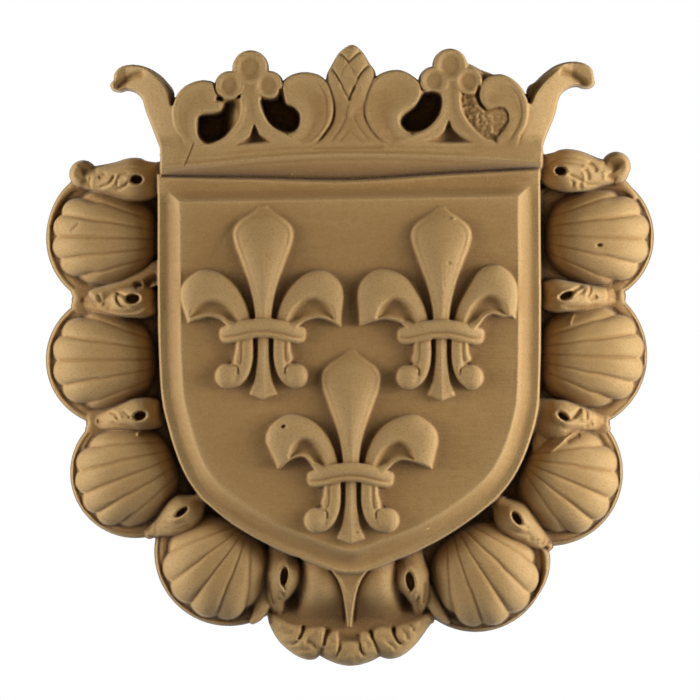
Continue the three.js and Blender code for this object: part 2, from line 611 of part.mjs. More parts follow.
// The horn leans outwards, thins towards its tip and is hollowed under the curl.
function hornHeight(t, s) {
  const level = CROWN_HEIGHT - 0.6 - 2.5 * t ** 2;
  const curl = smooth((t - 0.45) / 0.3);
  if (s === 0) return level - mix(1.4, 3, curl);
  if (s === 0.4) return level - 3.5 * curl;
  return level - (s === 1 ? 2.2 : 0);
}

function crownScroll({ outer, inner, head, radius }) {
  const face = new Map([[0, 2.6], [0.14, 1], [0.8, 0.6], [1, 2]]);
  const height = (t, s) => CROWN_HEIGHT - face.get(s);
  const levels = [[1, CROWN_HEIGHT - 2.6], [0.8, CROWN_HEIGHT - 0.6]];
  return [strip(outer, inner, 5, [...face.keys()], height, 0), dome(head, radius, 12, levels, 0)];
}

function crownTrefoil({ lobes, stem, arms }) {
  const levels = [[1, CROWN_HEIGHT - 1.4], [0.7, CROWN_HEIGHT - 0.3]];
  const parts = lobes.map(([x, z, radius]) => dome([x, z], radius, 10, levels, 0));
  const stemRows = stem.map((point) => [...point, STEM_HALF, CROWN_HEIGHT - 0.8, CROWN_HEIGHT - 2.6]);
  parts.push(ribbon(stemRows, 1, [0, 0.5, 1], 0));
  const height = (t, s) => CROWN_HEIGHT - (s === 0 || s === 1 ? 2 : 0.7);
  for (const { outer, inner } of arms) parts.push(strip(outer, inner, 4, [0, 0.5, 1], height, 0));
  return parts;
}

function bud() {
  const outline = count(12).map((i) => through(BUD, true)(i / 12));
  const levels = [[1, CROWN_HEIGHT - 2.4], [0.5, CROWN_HEIGHT + 0.4]];
  const height = (t, s) => CROWN_HEIGHT - (s === 0 || s === 1 ? 2.4 : 1.2);
  const middle = LEAF_SIDE.map(([, z]) => [0, z]);
  const sides = [-1, 1].map((hand) => LEAF_SIDE.map(([x, z]) => [hand * x, z]));
  const leaves = sides.map((side) => strip(side, middle, 4, [0, 0.3, 1], height, 0));
  return [mound(outline, BUD_SPINE, levels, 0), ...leaves];
}

function filling() {
  const levels = [[1, CROWN_HEIGHT - 7], [0.7, CROWN_HEIGHT - 5], [0.2, CROWN_HEIGHT - 3.6]];
  return mound(FILLING, FILLING_SPINE, levels, CROWN_FLOOR - 2);
}

// The shell under the point of the shield: a spread bowl with a keel, and a lip of seven curled lobes.
function pendant() {
  const [halves, heights] = [BOWL_HALF, BOWL_HEIGHTS].map((sizes) => through(sizes.map((size) => [size])));
  const rows = count(7).map((step) => {
    const t = step / 6;
    return [-1, -0.75, -0.5, -0.2, 0.2, 0.5, 0.75, 1].map((side) => {
      const fall = smooth((Math.abs(side) - 0.5) / 0.35);
      return [side * halves(t)[0], mix(BOWL_TOP, BOWL_BOTTOM, t), heights(t)[0] * mix(1, BOWL_VALLEY, fall)];
    });
  });
  const parts = [plate(PENDANT_EDGE, PLATE_HEIGHT + 1), slab(rows, PLATE_HEIGHT - 2)];
  for (const [x, half, low, lean] of LOBES) {
    const line = LOBE_ROWS.map(([down, lie, width, middle, edge]) => [
      x + lean * lie,
      mix(LOBE_TOP, low, down),
      half * width,
      middle,
      edge,
    ]);
    parts.push(ribbon(line, LOBE_ROWS.length - 1, [0, 0.25, 0.75, 1], 0));
  }
  parts.push(ribbon(KEEL, 4, [0, 0.15, 0.5, 0.85, 1], PLATE_HEIGHT - 2));
  return parts;
}

const pieces = [
  plate(GROUND, PLATE_HEIGHT),
  shield(),
  ...LILIES.flatMap(lily),
  ...crown(),
  ...SHELLS.flatMap(scallop),
  ...LEAVES.flatMap(leaf),
  ...pendant(),
];
const { vertProperties, triVerts } = wasm.Manifold.union(pieces).getMesh();
const geometry = new THREE.BufferGeometry();
geometry.setAttribute("position", new THREE.BufferAttribute(new Float32Array(vertProperties), 3));
geometry.setIndex(new THREE.BufferAttribute(new Uint32Array(triVerts), 1));
geometry.computeVertexNormals();

const composition = new THREE.MeshStandardMaterial({ color: 0xa28253, roughness: 0.75, metalness: 0 });
const onlay = new THREE.Mesh(geometry, composition);
onlay.name = "shield_onlay";

const root = new THREE.Group();
root.add(onlay);
export default root;
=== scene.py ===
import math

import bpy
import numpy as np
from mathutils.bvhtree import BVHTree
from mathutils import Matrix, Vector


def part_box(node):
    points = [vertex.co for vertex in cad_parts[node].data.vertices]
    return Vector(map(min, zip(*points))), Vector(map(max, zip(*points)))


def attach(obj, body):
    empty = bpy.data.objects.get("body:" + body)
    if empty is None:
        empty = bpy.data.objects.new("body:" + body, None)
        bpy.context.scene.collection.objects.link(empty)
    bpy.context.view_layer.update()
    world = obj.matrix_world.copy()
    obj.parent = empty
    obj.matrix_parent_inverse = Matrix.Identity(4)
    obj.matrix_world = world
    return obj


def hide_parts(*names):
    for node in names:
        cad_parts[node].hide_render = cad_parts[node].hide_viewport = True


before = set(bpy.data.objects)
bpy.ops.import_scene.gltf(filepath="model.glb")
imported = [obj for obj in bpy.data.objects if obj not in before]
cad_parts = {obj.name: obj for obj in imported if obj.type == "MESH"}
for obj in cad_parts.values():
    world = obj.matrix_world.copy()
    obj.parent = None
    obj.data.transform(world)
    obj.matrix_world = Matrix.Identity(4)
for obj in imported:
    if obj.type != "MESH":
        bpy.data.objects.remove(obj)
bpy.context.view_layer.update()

# A moulded heraldic onlay: a shield with three lilies under an open crown, ringed by scallop shells and small
# leaf scrolls. The relief is raised form by form on a fine canvas of heights, as a modeller builds it up on
# a board. Then it is lifted off as one closed mesh, and given its dry tan finish.
# Sizes are millimetres until that mesh is made. A point is (x, z), x to the right and z up, and a height is
# the distance in front of the flat back.

NODE = "shield_onlay"
low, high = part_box(NODE)
PART_WIDTH = 254.3  # in this script's millimetres
UNIT = (high.x - low.x) / PART_WIDTH  # metres in one of them, from the frame

# The canvas
STEP = 0.3  # from one point of the canvas to the next
CANVAS_X, CANVAS_Z = (-129.5, 129.5), (-132.5, 132.5)  # from, to
MARGIN = 2.5  # of the canvas round a form
OUTSIDE = -9.0  # what the distance inside the outline is before any form stands there
SEED = 7

# How forms rise from it
WALL = 0.6  # the width of an upright wall, seen from the front
FINE_WALL = 0.5  # of the small forms
BUMP_FALL = -2.5  # the power of e that a bump has faded to at its width
END_RATE, END_START = 5, 0.25  # how fast a groove deepens from its ends, and the share that it starts with
FOLD_REACH = 4  # how far beside its line a fold may change the canvas
FOLD_SWELL, FOLD_CREASE = (0.8, 1, 1.5), (-1.4, -0.35, 0.85)  # strength, place across the fold, width
SOFTNESS = 0.26  # how far the moulding softens every edge
LEAST_HEIGHT = 1.5  # of the relief anywhere inside the outline
WAVINESS = [(6, 0.05), (2, 0.02)]  # size of the waves, and their rise
TRIANGLES = 196000  # of the finished piece
LEAST_SLOPE = 0.3  # of the outline's distances, where the brink is drawn in
FACING_BACK = 0.9  # the least y of the normal of a face at the back
NEVER_ZERO = 1e-6  # added to what divides

# Heights of the main surfaces in front of the back
PLATE_HEIGHT = 4
CROWN_FLOOR = 9
SHELL_HEIGHT = 28
BORDER_HEIGHT = 29.5
CROWN_BODY = 34.4
FIELD_HEIGHT = 34
CROWN_HEIGHT = 37

# The shield
TOP_LEFT, TOP_RIGHT, POINT = (-80.3, 75.6), (79.8, 78.2), (0.3, -91.5)
SHIELD_LEFT = [TOP_LEFT, (-79.8, 0), (-76, -30), (-64.5, -57), (-40, -76.2), (-12, -88.3), POINT]
SHIELD_RIGHT = [POINT, (12.6, -88.2), (40, -76), (65.5, -55.8), (77.3, -30), (80, 0), TOP_RIGHT]
BORDER_SECTION = [  # distance in from the edge, and height
    (0, 28.5), (0.35, 29.3), (0.8, 29.6), (1.4, 29.5), (2.6, 29.3), (3.8, 29.3), (4.8, 29.6), (5.8, 30.2),
    (6.8, 31.1), (7.8, 32.2), (8.8, 33.4), (9.5, 34.15), (10, 34.2), (10.5, FIELD_HEIGHT),
]
TOP_BORDER = [  # distance below the top edge, and the distance in from the edge that it counts as
    (0, 0), (7.4, 4.6), (12.2, 9.9), (20, 17.7),
]
GROUND = [  # the low plate that joins the shells behind the shield
    (-82, 78), (-84, -20), (-70, -60), (-45, -80), (0, -90), (45, -80), (70, -60), (83, -20), (83, 80),
]

# The lilies, each about the middle of its tie. A side petal is given by how far out it reaches, how high it
# rises, how high its tip hangs and at what share of the reach, the top of its lower lip, and the outer end
# and the top of the hollow above it. balls is how far out the balls of its left and right hook lie.
LILIES = [
    dict(
        centre=(-36, 10.5),
        left=dict(reach=34.4, crest=24.9, tip=3.2, hang=0.91, lip=(22.5, 5.5), hollow=(30.3, 12.9)),
        right=dict(reach=33.6, crest=24.8, tip=1.7, hang=0.96, lip=(22.5, 4.9), hollow=(29.6, 14.2)),
        balls=(14.8, 13.4),
    ),
    dict(
        centre=(38.3, 10),
        left=dict(reach=35.1, crest=25.8, tip=2.4, hang=0.97, lip=(23.5, 5), hollow=(26.8, 14.4)),
        right=dict(reach=31.7, crest=27.4, tip=5.6, hang=0.97, lip=(21.5, 7), hollow=(27.2, 14.7)),
        balls=(13.6, 12.3),
    ),
    dict(
        centre=(0.6, -49.7),
        left=dict(reach=35.3, crest=24.8, tip=2.5, hang=0.86, lip=(21, 7.2), hollow=(25.6, 14.4)),
        right=dict(reach=36.2, crest=24.6, tip=2.6, hang=0.93, lip=(21.5, 5.9), hollow=(26.8, 13.8)),
        balls=(14.2, 14.8),
    ),
]
LILY_PETAL = [  # up, half width, height of the middle and of the edge above the field
    (3, 3.4, 5.6, 2.8), (9, 3.9, 6, 2.6), (15, 5, 6.4, 2.4), (20, 6.3, 6.7, 2.3), (25, 7.9, 6.8, 2.2),
    (30, 9.6, 6.7, 2.1), (35, 11.4, 6.3, 2), (39.5, 12.3, 5.5, 1.9), (42.6, 11.7, 4.7, 1.8),
    (45.2, 9.8, 3.8, 1.5), (47.6, 6.6, 2.7, 1.2), (49.6, 3.6, 1.7, 0.9), (51.2, 2, 1, 0.6),
    (52, 1.6, 0.6, 0.4),
]
LILY_STEM = [  # the same
    (-2, 2.5, 5, 3.6), (-10, 2.5, 5, 3.6), (-16, 3, 5, 3.4), (-21, 3.7, 4.7, 3), (-25, 4.9, 4.3, 2.6),
    (-26.8, 5.5, 4, 2.3),
]
STEM_POINT = -29
PETAL_FALL, PETAL_FLATNESS, STEM_FALL = 1.8, 0.75, 1.5  # the powers that round them
PETAL_CONTOUR = [(0.15, 0.8), (-0.2, 1.9)]  # rise of a fine line along its edge, and how far in it lies
CONTOUR_WIDTH, CONTOUR_FULL = 0.7, 5  # and the height of the petal's middle where it is in full
STREAKS = (-3, -1.8, -0.5, 0.9, 2.1, 3.2)  # how far they lie beside the petal's middle
STREAK_ROWS = [(0.5, 9), (0.8, 18), (1.7, 30)]  # the share of that, and up
STREAK_WIDTH, STREAK_DEPTH = 0.7, 0.16
BACK_BRIM, BACK_RISE, BACK_ROLL = 1.8, 4.2, 8.5  # height of a side petal's edge, rise and width of its roll
DISH_LOW, DISH_HIGH = 2.3, 3.7  # the floor of the hollow at its arch and at the lip
DISH_ROOT = 10.4  # how far out the hollow begins
DISH_WALL = 3.2
LIP_WIDTH = 0.7
HOOK_INNER = [(4.1, -3), (4, -10.5), (4.6, -15), (6, -18.8), (8, -21.6), (10.3, -23.4)]
HOOK_OUTER = [(12.2, -11.8), (11.4, -9), (11.3, -6), (11.5, -3)]
HOOK_NECK = (-2.4, -13.6)  # how far beside the ball's middle the hook leaves it, and the level there
HOOK_MARKS = [(1.3, 0.8, [(9.2, -2), (9, -8), (9.4, -12.5), (10, -15)])]  # width, depth, points
STRAP_BRIM, STRAP_RISE, STRAP_ROUNDING = 2.6, 2.4, 2.6
BALL_RADIUS = 5.1
BALL_DROP = 19.3
BALL_BRIM, BALL_RISE = 2.4, 3.4
BALL_ARC = (-105, 100)  # the directions from the ball's middle between which it makes the hook's outline
BALL_MARKS = [  # width, depth, points about the ball's middle
    (1, 1, [(-0.6, 5.4), (-2.6, 4.9), (-4.3, 3.4), (-4.2, 0.4)]),
    (1.2, 0.4, [(-4, -0.4), (-2.8, -2.8), (0.4, -4)]),
]
TIE_UPPER = [
    (-18, -0.4), (-17, 1.2), (-12.5, 2.9), (-8, 4), (-4, 4.6), (0, 4.8), (4, 4.6), (8, 3.9), (12.5, 2.6),
    (16.8, 1), (17.7, -0.6),
]
TIE_LOWER = [
    (-18, -3.2), (-16.8, -4.9), (-13.2, -5.5), (-8, -4.2), (-4, -3.4), (0, -3.2), (4, -3.5), (8, -4.4),
    (13.2, -5.6), (16.4, -5), (17.5, -3.4),
]
TIE_ROLLS = [  # share of the way down the tie, and height
    (0, -1.7), (0.06, -0.7), (0.2, -0.1), (0.38, 0), (0.55, -0.3), (0.63, -1), (0.67, -1.6), (0.72, -1.2),
    (0.82, -0.9), (0.93, -1.3), (1, -2.2),
]
TIE_MIDDLE, TIE_FALL, TIE_BEND = 7.6, 4.4, 2.8  # height of its middle, fall to its ends, and its power
TIE_HALF = 18

# The shells, from the top down on each side. Each lies on a round plate, and aims from its hinge to its lip,
# in degrees. Its dome's middle lies forward of the plate's. The dome reaches back, and half its width to the
# sides, and its lip ends a gap short of the rim. Its grooves fan out from the hinge behind its middle, and
# spacing is the angle between them. Lean is how much lower the dome lies at its lip than at its hinge.
SHELL_SIZES = [
    "Centre X", "Centre Z", "Rim radius", "Gap", "Aim", "Forward", "Back", "Half width", "Hinge", "Spacing",
    "Lean",
]
SHELLS = [
    (-97.9, 49, 29.2, 2.8, 178.4, 5, 24, 19.4, 43, 9.1, 5),
    (-99.6, -2, 27.6, 3, 180.8, 4, 23, 20.2, 42, 10.6, 5),
    (-89.8, -49.4, 27.2, 2.3, 202, 4, 22, 20.6, 41, 9.8, 5),
    (-50.7, -82.5, 31, 2.3, 233.7, 7, 20, 22.4, 23, 17, 2),
    (99.7, 49.6, 27.8, 2.1, -2.6, 5, 23, 19.8, 39, 11.1, 5),
    (93.3, -0.1, 31.4, 1.5, -2.4, 7, 22, 21.2, 35.6, 11, 5),
    (83.9, -49.3, 30.6, 2, -23.4, 8, 20, 22, 24, 16.1, 5),
    (52.9, -86, 30, 2, -57.5, 6.3, 21, 22.2, 31, 14.1, 1),
]
RIM_SECTION = [  # share of the gap in from the rim, and height
    (0, 6), (0.16, 6.8), (0.36, 7.2), (0.56, 7.2), (0.76, 6.9), (1, 7), (1.3, 7.6), (2.4, 8.2),
]
LIP_HEIGHT = 11.5
CHANNEL_DEPTH, CHANNEL_WIDTH = 2.2, 0.9  # of the narrow channel round the dome
HINGE_HEIGHT = 5
DOME_SQUARENESS = 2.3
DOME_FALL, DOME_FLATNESS = 2.5, 0.55  # the powers that round its top
DOME_SKIRT = 1.03  # the dome's sheet goes on to this share of its radius, where it drops to the back
DOME_FOOT = 3  # what is lower isn't dome
HIGH_ABOVE = 90  # from where the domes are looked down on
PRESS_MARGIN = 0.5  # of the canvas round a dome
RIB_DEPTH, RIB_SHARPNESS = 1.25, 6.0
RIBS_SHOWN = (6.0, 0.35)  # how fast the ribs deepen from the lip inwards, and the share that they start with
EVEN_RIBS = 2.0  # on each side of the middle, and the others share what is left
LAST_GROOVE = 0.96  # its share of the way to the dome's widest place
LOBE_DEPTH, LOBE_SHARPNESS = 1.8, 2.0  # how the lip draws in at a groove
LOBES_ROUND, BEAD_ROUND = 2.5, 2.0  # how far round from the lip these go on
MERGING = 0.001  # points nearer than this are one
LIP_BEAD, BEAD_PLACE, BEAD_FINENESS = 0.75, 0.962, 26.0  # rise, share of the radius, and 1 / its half width

# The leaf scrolls between the shells. spine is a leaf's rows (x, z, half width, height) from its head beside
# the shield to its tail, and eye the hole in its curl: middle, half length, half width and turn in degrees.
# marks are its grooves (width, depth, points), or ridges where the depth is negative. folds are the edges of
# its lobes (rise, points). webs fill the corners beside it (height of the middle and of the edge, outline).
# knob is the ball at a top leaf's tail (x, z, radius), and hollow the middle of the broad dip in it.
LEAVES = [
    dict(
        spine=[
            (-79, 75.5, 5.5, 20), (-85, 73.5, 8.5, 23.5), (-92, 73.3, 9.2, 24.5), (-100, 73.6, 6.8, 22),
            (-107, 74, 5.2, 18), (-112, 75, 4.5, 15),
        ],
        knob=(-111.8, 75.9, 5.6), hollow=[(-112.6, 77), (-110.2, 78), (-106, 79)],
        webs=[
            (9, 7.8, [
                (-109, 70.4), (-115, 73), (-118.4, 71), (-122.4, 66), (-125.2, 60), (-126.6, 54),
                (-125, 54), (-122.8, 60), (-119.6, 65.2), (-115.4, 68.4), (-110, 69),
            ]),
        ],
        eye=(-89.2, 73.4, 2.4, 1.7, 0),
        marks=[
            (0.9, 0.8, [(-95.8, 70), (-98, 69.2)]),
            (1.8, 1.3, [(-102, 75.8), (-105, 74)]),
            (1.8, 1.1, [(-112.4, 72.6), (-109.6, 73)]),
            (1, 0.5, [(-86, 77.6), (-92, 78.4), (-98, 77.2), (-104, 75.6)]),
            (1.2, 0.7, [(-84, 80), (-92, 80.8), (-100, 78.6), (-107.5, 75.6)]),
            (1, 0.6, [(-103, 68.6), (-98, 67.2), (-92, 66.4)]),
        ],
        folds=[
            (1.1, [(-98, 75.2), (-99, 73), (-101, 71), (-104.4, 70)]),
            (0.9, [(-96.4, 69.7), (-94, 71.4), (-91.8, 73.6)]),
            (0.5, [(-92.4, 76), (-95.6, 75), (-97, 72.6), (-96.6, 70.6)]),
            (0.8, [(-107.8, 74.6), (-108.7, 72.2), (-108.2, 69.6)]),
        ],
    ),
    dict(
        spine=[
            (-80, 23.4, 3.6, 14), (-82.4, 23, 5.8, 20), (-86, 22.6, 7, 23.6), (-91, 22.3, 6.8, 24.5),
            (-97, 22, 6.2, 22), (-104, 22, 5, 16), (-109, 22.2, 4.6, 10.5), (-112.2, 22.8, 4.2, 8),
        ],
        webs=[
            (18, 15, [
                (-109, 26.4), (-100, 29.6), (-94, 31.6), (-87, 35.6), (-80, 39.8), (-79, 30), (-92, 25),
                (-105, 22),
            ]),
            (8.6, 7, [
                (-104, 30), (-112, 28.8), (-116.6, 27), (-115.7, 23.6), (-116.6, 20), (-112, 16.6),
                (-104, 15),
            ]),
        ],
        eye=(-90.7, 23.5, 2.8, 1.8, 8),
        marks=[
            (1.2, 1.6, [(-92.6, 24), (-94.6, 25), (-97.4, 25.6)]),
            (1, -0.6, [(-87.2, 25), (-86.7, 22.8), (-88.8, 21.2), (-92.2, 21), (-94.6, 22)]),
            (1.9, 1.4, [(-103.2, 21.6), (-101.6, 20.8), (-99.6, 20)]),
            (0.9, -0.6, [(-103.8, 18.9), (-98, 17.1), (-90, 16.9), (-85.5, 18.6), (-83.2, 22)]),
            (1.4, 0.9, [(-102.2, 19.3), (-97, 18.2), (-90.5, 18.2), (-86.6, 20)]),
            (1.6, 0.6, [(-112.4, 23.2), (-110, 22.8), (-108.2, 22.8)]),
            (2, 3, [(-90, 28.6), (-88.4, 29.2), (-86.8, 29.2)]),
            (2.4, 4, [(-85.6, 29.4), (-83, 31), (-80, 32.4)]),
        ],
        folds=[
            (0.9, [(-92.4, 19.6), (-95.6, 20.4), (-97.4, 22.6), (-97.8, 25.4)]),
            (0.6, [(-92.8, 23.8), (-95.4, 24.8), (-98, 25.8)]),
            (0.8, [(-107.6, 24.8), (-107.2, 22.6), (-105.2, 20.2)]),
            (0.5, [(-105, 25.4), (-104, 23.6), (-104.2, 22)]),
        ],
    ),
    dict(
        spine=[
            (-78, -24.5, 4.4, 14), (-80.4, -24.6, 6, 20), (-84, -24.6, 6.8, 23.4), (-89, -24.8, 6.9, 24.5),
            (-95, -26, 5.6, 22), (-101, -27.3, 4.4, 16), (-105, -28, 3.6, 10.5), (-107.4, -28.6, 3, 8),
        ],
        webs=[
            (8.6, 7, [
                (-99, -20), (-105, -22.4), (-110, -25), (-109.8, -28.4), (-110.6, -32), (-105, -34),
                (-98, -34),
            ]),
        ],
        eye=(-87.7, -25.4, 2.5, 1.7, 15),
        marks=[
            (1.1, 1.4, [(-90, -26), (-91.4, -26.2), (-92.6, -26)]),
            (1, -0.6, [(-84.4, -23.6), (-84, -26), (-86, -28.2), (-90, -28.9), (-93, -28.6)]),
            (0.9, 0.8, [(-94.6, -23), (-93.2, -24.8), (-91.6, -25.8)]),
            (1.2, 0.9, [(-100, -28), (-95.4, -29.4), (-90, -29.8)]),
            (0.9, -0.5, [(-105, -30.2), (-98, -31), (-90, -31.4)]),
            (1, 1, [(-105.2, -27), (-105, -28.6)]),
            (0.9, 1, [(-103.7, -27.4), (-103.4, -29)]),
        ],
        folds=[
            (1.2, [(-100.2, -23.8), (-97.8, -24.8), (-96.5, -27)]),
            (0.5, [(-96.6, -26.6), (-95, -28.2), (-91.6, -28.8)]),
            (0.5, [(-104.8, -26.6), (-104.3, -29.2)]),
        ],
    ),
    dict(
        spine=[
            (-63, -61, 3.5, 19), (-67, -64.5, 7.5, 23), (-71.5, -67.5, 7.8, 24.3), (-76, -70.3, 6, 21),
            (-80, -72.5, 4, 15), (-84, -74.8, 2.2, 9),
        ],
        eye=(-70.3, -65.7, 2.7, 1.1, 37),
        marks=[
            (1, 0.9, [(-72.2, -67.4), (-74, -67.8), (-76, -67.4)]),
            (1, -0.4, [(-67, -63.5), (-67.2, -66.5), (-70, -68.6), (-74, -69.2)]),
            (1.2, 0.8, [(-78, -69.4), (-74, -70.9), (-68.6, -70)]),
            (1.4, 0.9, [(-77.6, -72.2), (-72.4, -72.7), (-67, -71.2)]),
            (1, 0.8, [(-82.8, -75.8), (-80.6, -74.9)]),
        ],
        folds=[
            (0.6, [(-80.8, -70.6), (-81.3, -72.6), (-80, -74.4)]),
            (0.5, [(-83.6, -70.4), (-83.4, -72.6)]),
        ],
    ),
    dict(
        spine=[
            (-28.8, -82.5, 5.6, 18), (-28, -87.5, 7, 22), (-27.6, -92, 7.6, 24), (-29, -97, 6.4, 23),
            (-30.6, -102, 4.4, 19), (-30.2, -106, 3, 15), (-30, -109, 1.8, 11),
        ],
        webs=[
            (16, 13, [
                (-36, -94), (-33.6, -100), (-32.6, -104.4), (-34.4, -107.6), (-38, -111.6), (-41.6, -112.4),
                (-40, -106), (-38, -99),
            ]),
        ],
        eye=(-27.4, -92.6, 3.6, 1.5, 83),
        marks=[
            (0.9, 1.4, [(-27.5, -96), (-27.2, -97.6), (-26.8, -99)]),
            (1.1, 1.6, [(-33.6, -94), (-33.3, -98), (-32.4, -101), (-31.3, -104.6)]),
            (1.1, 1, [(-30, -101.6), (-29, -102.2)]),
            (1.2, -0.5, [(-30.4, -99.4), (-29.4, -100.2)]),
            (0.9, 0.6, [(-31.8, -107.4), (-30, -108.2)]),
        ],
        folds=[
            (0.6, [(-28.4, -98.6), (-27.4, -100.2), (-27.4, -101.6)]),
        ],
    ),
    dict(
        spine=[
            (80, 79, 5, 20), (86, 77.5, 8, 23.5), (92, 77.2, 9, 24.5), (99, 76.5, 8, 22),
            (106, 76.5, 5.5, 18), (112, 77, 5, 15),
        ],
        knob=(111.9, 79.2, 5.9), hollow=[(112.6, 78), (110.6, 79.8), (106.6, 81.8)],
        webs=[
            (9.6, 8.2, [
                (103, 70.4), (109, 71.6), (114, 74), (118, 70.6), (120.6, 66.4), (118.8, 65), (115.4, 68),
                (109, 69.6),
            ]),
        ],
        eye=(88.3, 77, 2.2, 1.6, -5),
        marks=[
            (1.7, 1.6, [(99.8, 80.6), (101.4, 79.4), (102.6, 78), (103.4, 76.6)]),
            (2.2, 1.5, [(107.8, 75.4), (109.4, 74), (111.6, 73)]),
            (1.4, 0.9, [(97.6, 71.8), (102, 71.4), (107, 71.2), (112, 72.2)]),
            (1.2, 0.8, [(83.4, 80), (87, 82), (92, 82.7), (97, 81.8), (102, 79.8)]),
            (1.2, 0.9, [(85.6, 79.6), (90, 80.6), (95, 80), (98, 78.8)]),
            (1.1, 1, [(91, 76), (93.4, 74.8), (95.6, 73.6), (98, 72.8)]),
            (1.6, 1.2, [(98.2, 78), (99.3, 76.4), (99.8, 74.6), (99.4, 73)]),
            (1.1, -0.8, [(97.6, 76.8), (98.3, 75.2), (98.4, 73.4)]),
            (1.1, -0.8, [(106.4, 77), (106.8, 75.2), (106.6, 73.4)]),
            (1.2, 0.8, [(92.6, 73.6), (93.6, 72), (93.4, 70.4)]),
            (0.9, -0.6, [(94.6, 72), (94.6, 70.4), (95.4, 69)]),
            (1.1, 0.8, [(96.6, 72.4), (96.6, 70.8), (97.2, 69.6)]),
            (0.9, -0.6, [(98.4, 71.6), (98.2, 70)]),
        ],
    ),
    dict(
        spine=[
            (80, 25, 4.4, 15), (82, 25, 6, 20), (86, 24.8, 7, 23.4), (91, 24.4, 6.6, 24.5),
            (98, 24.2, 5.6, 22), (105, 24.3, 4.4, 16), (110, 24.6, 4, 10.5), (112.4, 24.7, 3.4, 8),
        ],
        webs=[
            (8.6, 7, [
                (103, 31), (110, 30.2), (115, 28), (114.8, 24.8), (115.4, 21.6), (110, 19), (103, 17.6),
            ]),
        ],
        eye=(90.6, 24.8, 2.7, 1.4, 22),
        marks=[
            (1.3, 2.4, [(92.6, 25.8), (94.8, 27.4), (97.6, 28.8)]),
            (1, -0.6, [(86.5, 26.2), (86.2, 24), (88.5, 22.3), (92, 22.1), (95.5, 23.6)]),
            (1.9, 1.8, [(100.2, 22.8), (102, 23.8), (103.6, 24.8)]),
            (0.9, -0.6, [(107, 21.3), (100, 19.3), (92, 18.8), (86.6, 20.2)]),
            (1.3, 0.8, [(104.2, 21.4), (97, 20.3), (90, 20.1)]),
            (3, 1, [(110.4, 23.4), (110.7, 25), (110.4, 26.8)]),
        ],
        folds=[
            (1.1, [(99.2, 24.2), (100.3, 26.4), (100.6, 29.2)]),
            (0.6, [(93.4, 24.6), (96, 26), (98.6, 27.8)]),
            (0.7, [(107.6, 22.4), (108.2, 25), (107.2, 28.2)]),
        ],
    ),
    dict(
        spine=[
            (79.5, -26, 8, 20), (85, -27, 8.8, 23), (90, -26.3, 7.6, 24.5), (95, -26.5, 5.6, 22),
            (101, -27.6, 4.2, 16), (104.6, -28.1, 3.4, 10.5), (106.4, -28.5, 2.7, 8),
        ],
        eye=(89.3, -25.7, 2.3, 1.2, -38),
        marks=[
            (1.4, 2.8, [(91, -27), (92.6, -26.8), (94.3, -25.6), (95.6, -23.8), (96.8, -22.2)]),
            (1, -0.7, [(85.8, -23.8), (85.7, -26), (87.2, -28.2), (90, -28.8), (93, -28.4)]),
            (1.9, 1.5, [(98.6, -30.2), (100.4, -29.2), (102, -28.7)]),
            (0.9, -0.6, [(105.8, -25.8), (105.6, -29)]),
            (1.1, 0.7, [(88, -30.4), (94, -31), (98, -30.6)]),
            (1, -1.2, [(83.4, -41.2), (88, -37.2), (92, -33.8), (96.4, -30.8)]),
            (1.6, 2, [(90.6, -36.6), (93.4, -34.8), (96.6, -33.4)]),
        ],
        folds=[
            (1.3, [(98.9, -27.4), (99, -25), (98.5, -22.2)]),
            (0.5, [(96.4, -27.8), (99, -27.6), (101.6, -26.4)]),
        ],
        webs=[
            (17, 14, [(78, -30), (91, -30), (96, -31.6), (89, -36.3), (83, -41), (77, -42)]),
            (8.4, 7, [
                (100, -22), (106, -24), (109, -26), (108.6, -28.4), (109.2, -31.4), (105, -33.6),
                (100, -34),
            ]),
        ],
    ),
    dict(
        spine=[
            (63, -62.5, 4, 19), (67, -67, 7.8, 23), (71, -71, 7.6, 24.3), (75.5, -74.5, 6, 21),
            (80, -77.8, 4, 15), (82.8, -79.6, 2.7, 9),
        ],
        eye=(70, -68.3, 2.8, 1.35, -55),
        marks=[
            (1, 0.8, [(72.2, -70.6), (73.6, -71.8), (75, -72.2)]),
            (1, -0.4, [(67.3, -65.8), (67, -68.6), (69.5, -71.4), (72.5, -72.4)]),
            (1.4, 0.7, [(66, -72), (70.6, -74.2), (75.6, -75)]),
            (1.4, 0.7, [(64, -73.8), (68.6, -76.9), (73.6, -78.2)]),
            (2, 0.7, [(75, -76.6), (77, -77)]),
            (1.2, 1.8, [(81.3, -80.4), (82.4, -81.4), (83.8, -82.4)]),
            (0.9, 0.7, [(79.6, -78.8), (81.4, -79.2)]),
        ],
        folds=[
            (0.6, [(79.6, -79.6), (81.2, -77.8), (81, -75.8)]),
        ],
        webs=[
            (9.4, 7.8, [
                (79.6, -79), (83, -81.4), (84, -85), (83.7, -90), (82.3, -95), (79.8, -99.6), (77.2, -103.2),
                (79, -98.8), (80.6, -94), (81, -90), (80.4, -85),
            ]),
        ],
    ),
    dict(
        spine=[
            (25.2, -83, 5.6, 18), (25.3, -89, 7.2, 22), (26.3, -94, 7.6, 24), (28.2, -99, 5.6, 22),
            (29.2, -103.5, 4, 18), (29, -107, 2.6, 14), (29, -109.4, 1.8, 11),
        ],
        webs=[
            (16, 13, [
                (33.4, -95), (32.4, -100), (31.8, -104), (33.6, -107), (37.6, -110.8), (42, -112.2),
                (39, -106), (36, -100),
            ]),
        ],
        eye=(25.4, -94.7, 3.6, 1.7, 100),
        marks=[
            (0.9, 1.2, [(26.1, -98), (25.6, -99), (24.6, -100)]),
            (1.2, 1.7, [(31.6, -95), (31.6, -98), (31.2, -101), (30.5, -104.4)]),
            (1, 0.6, [(28.8, -103), (28.4, -106), (29.4, -108)]),
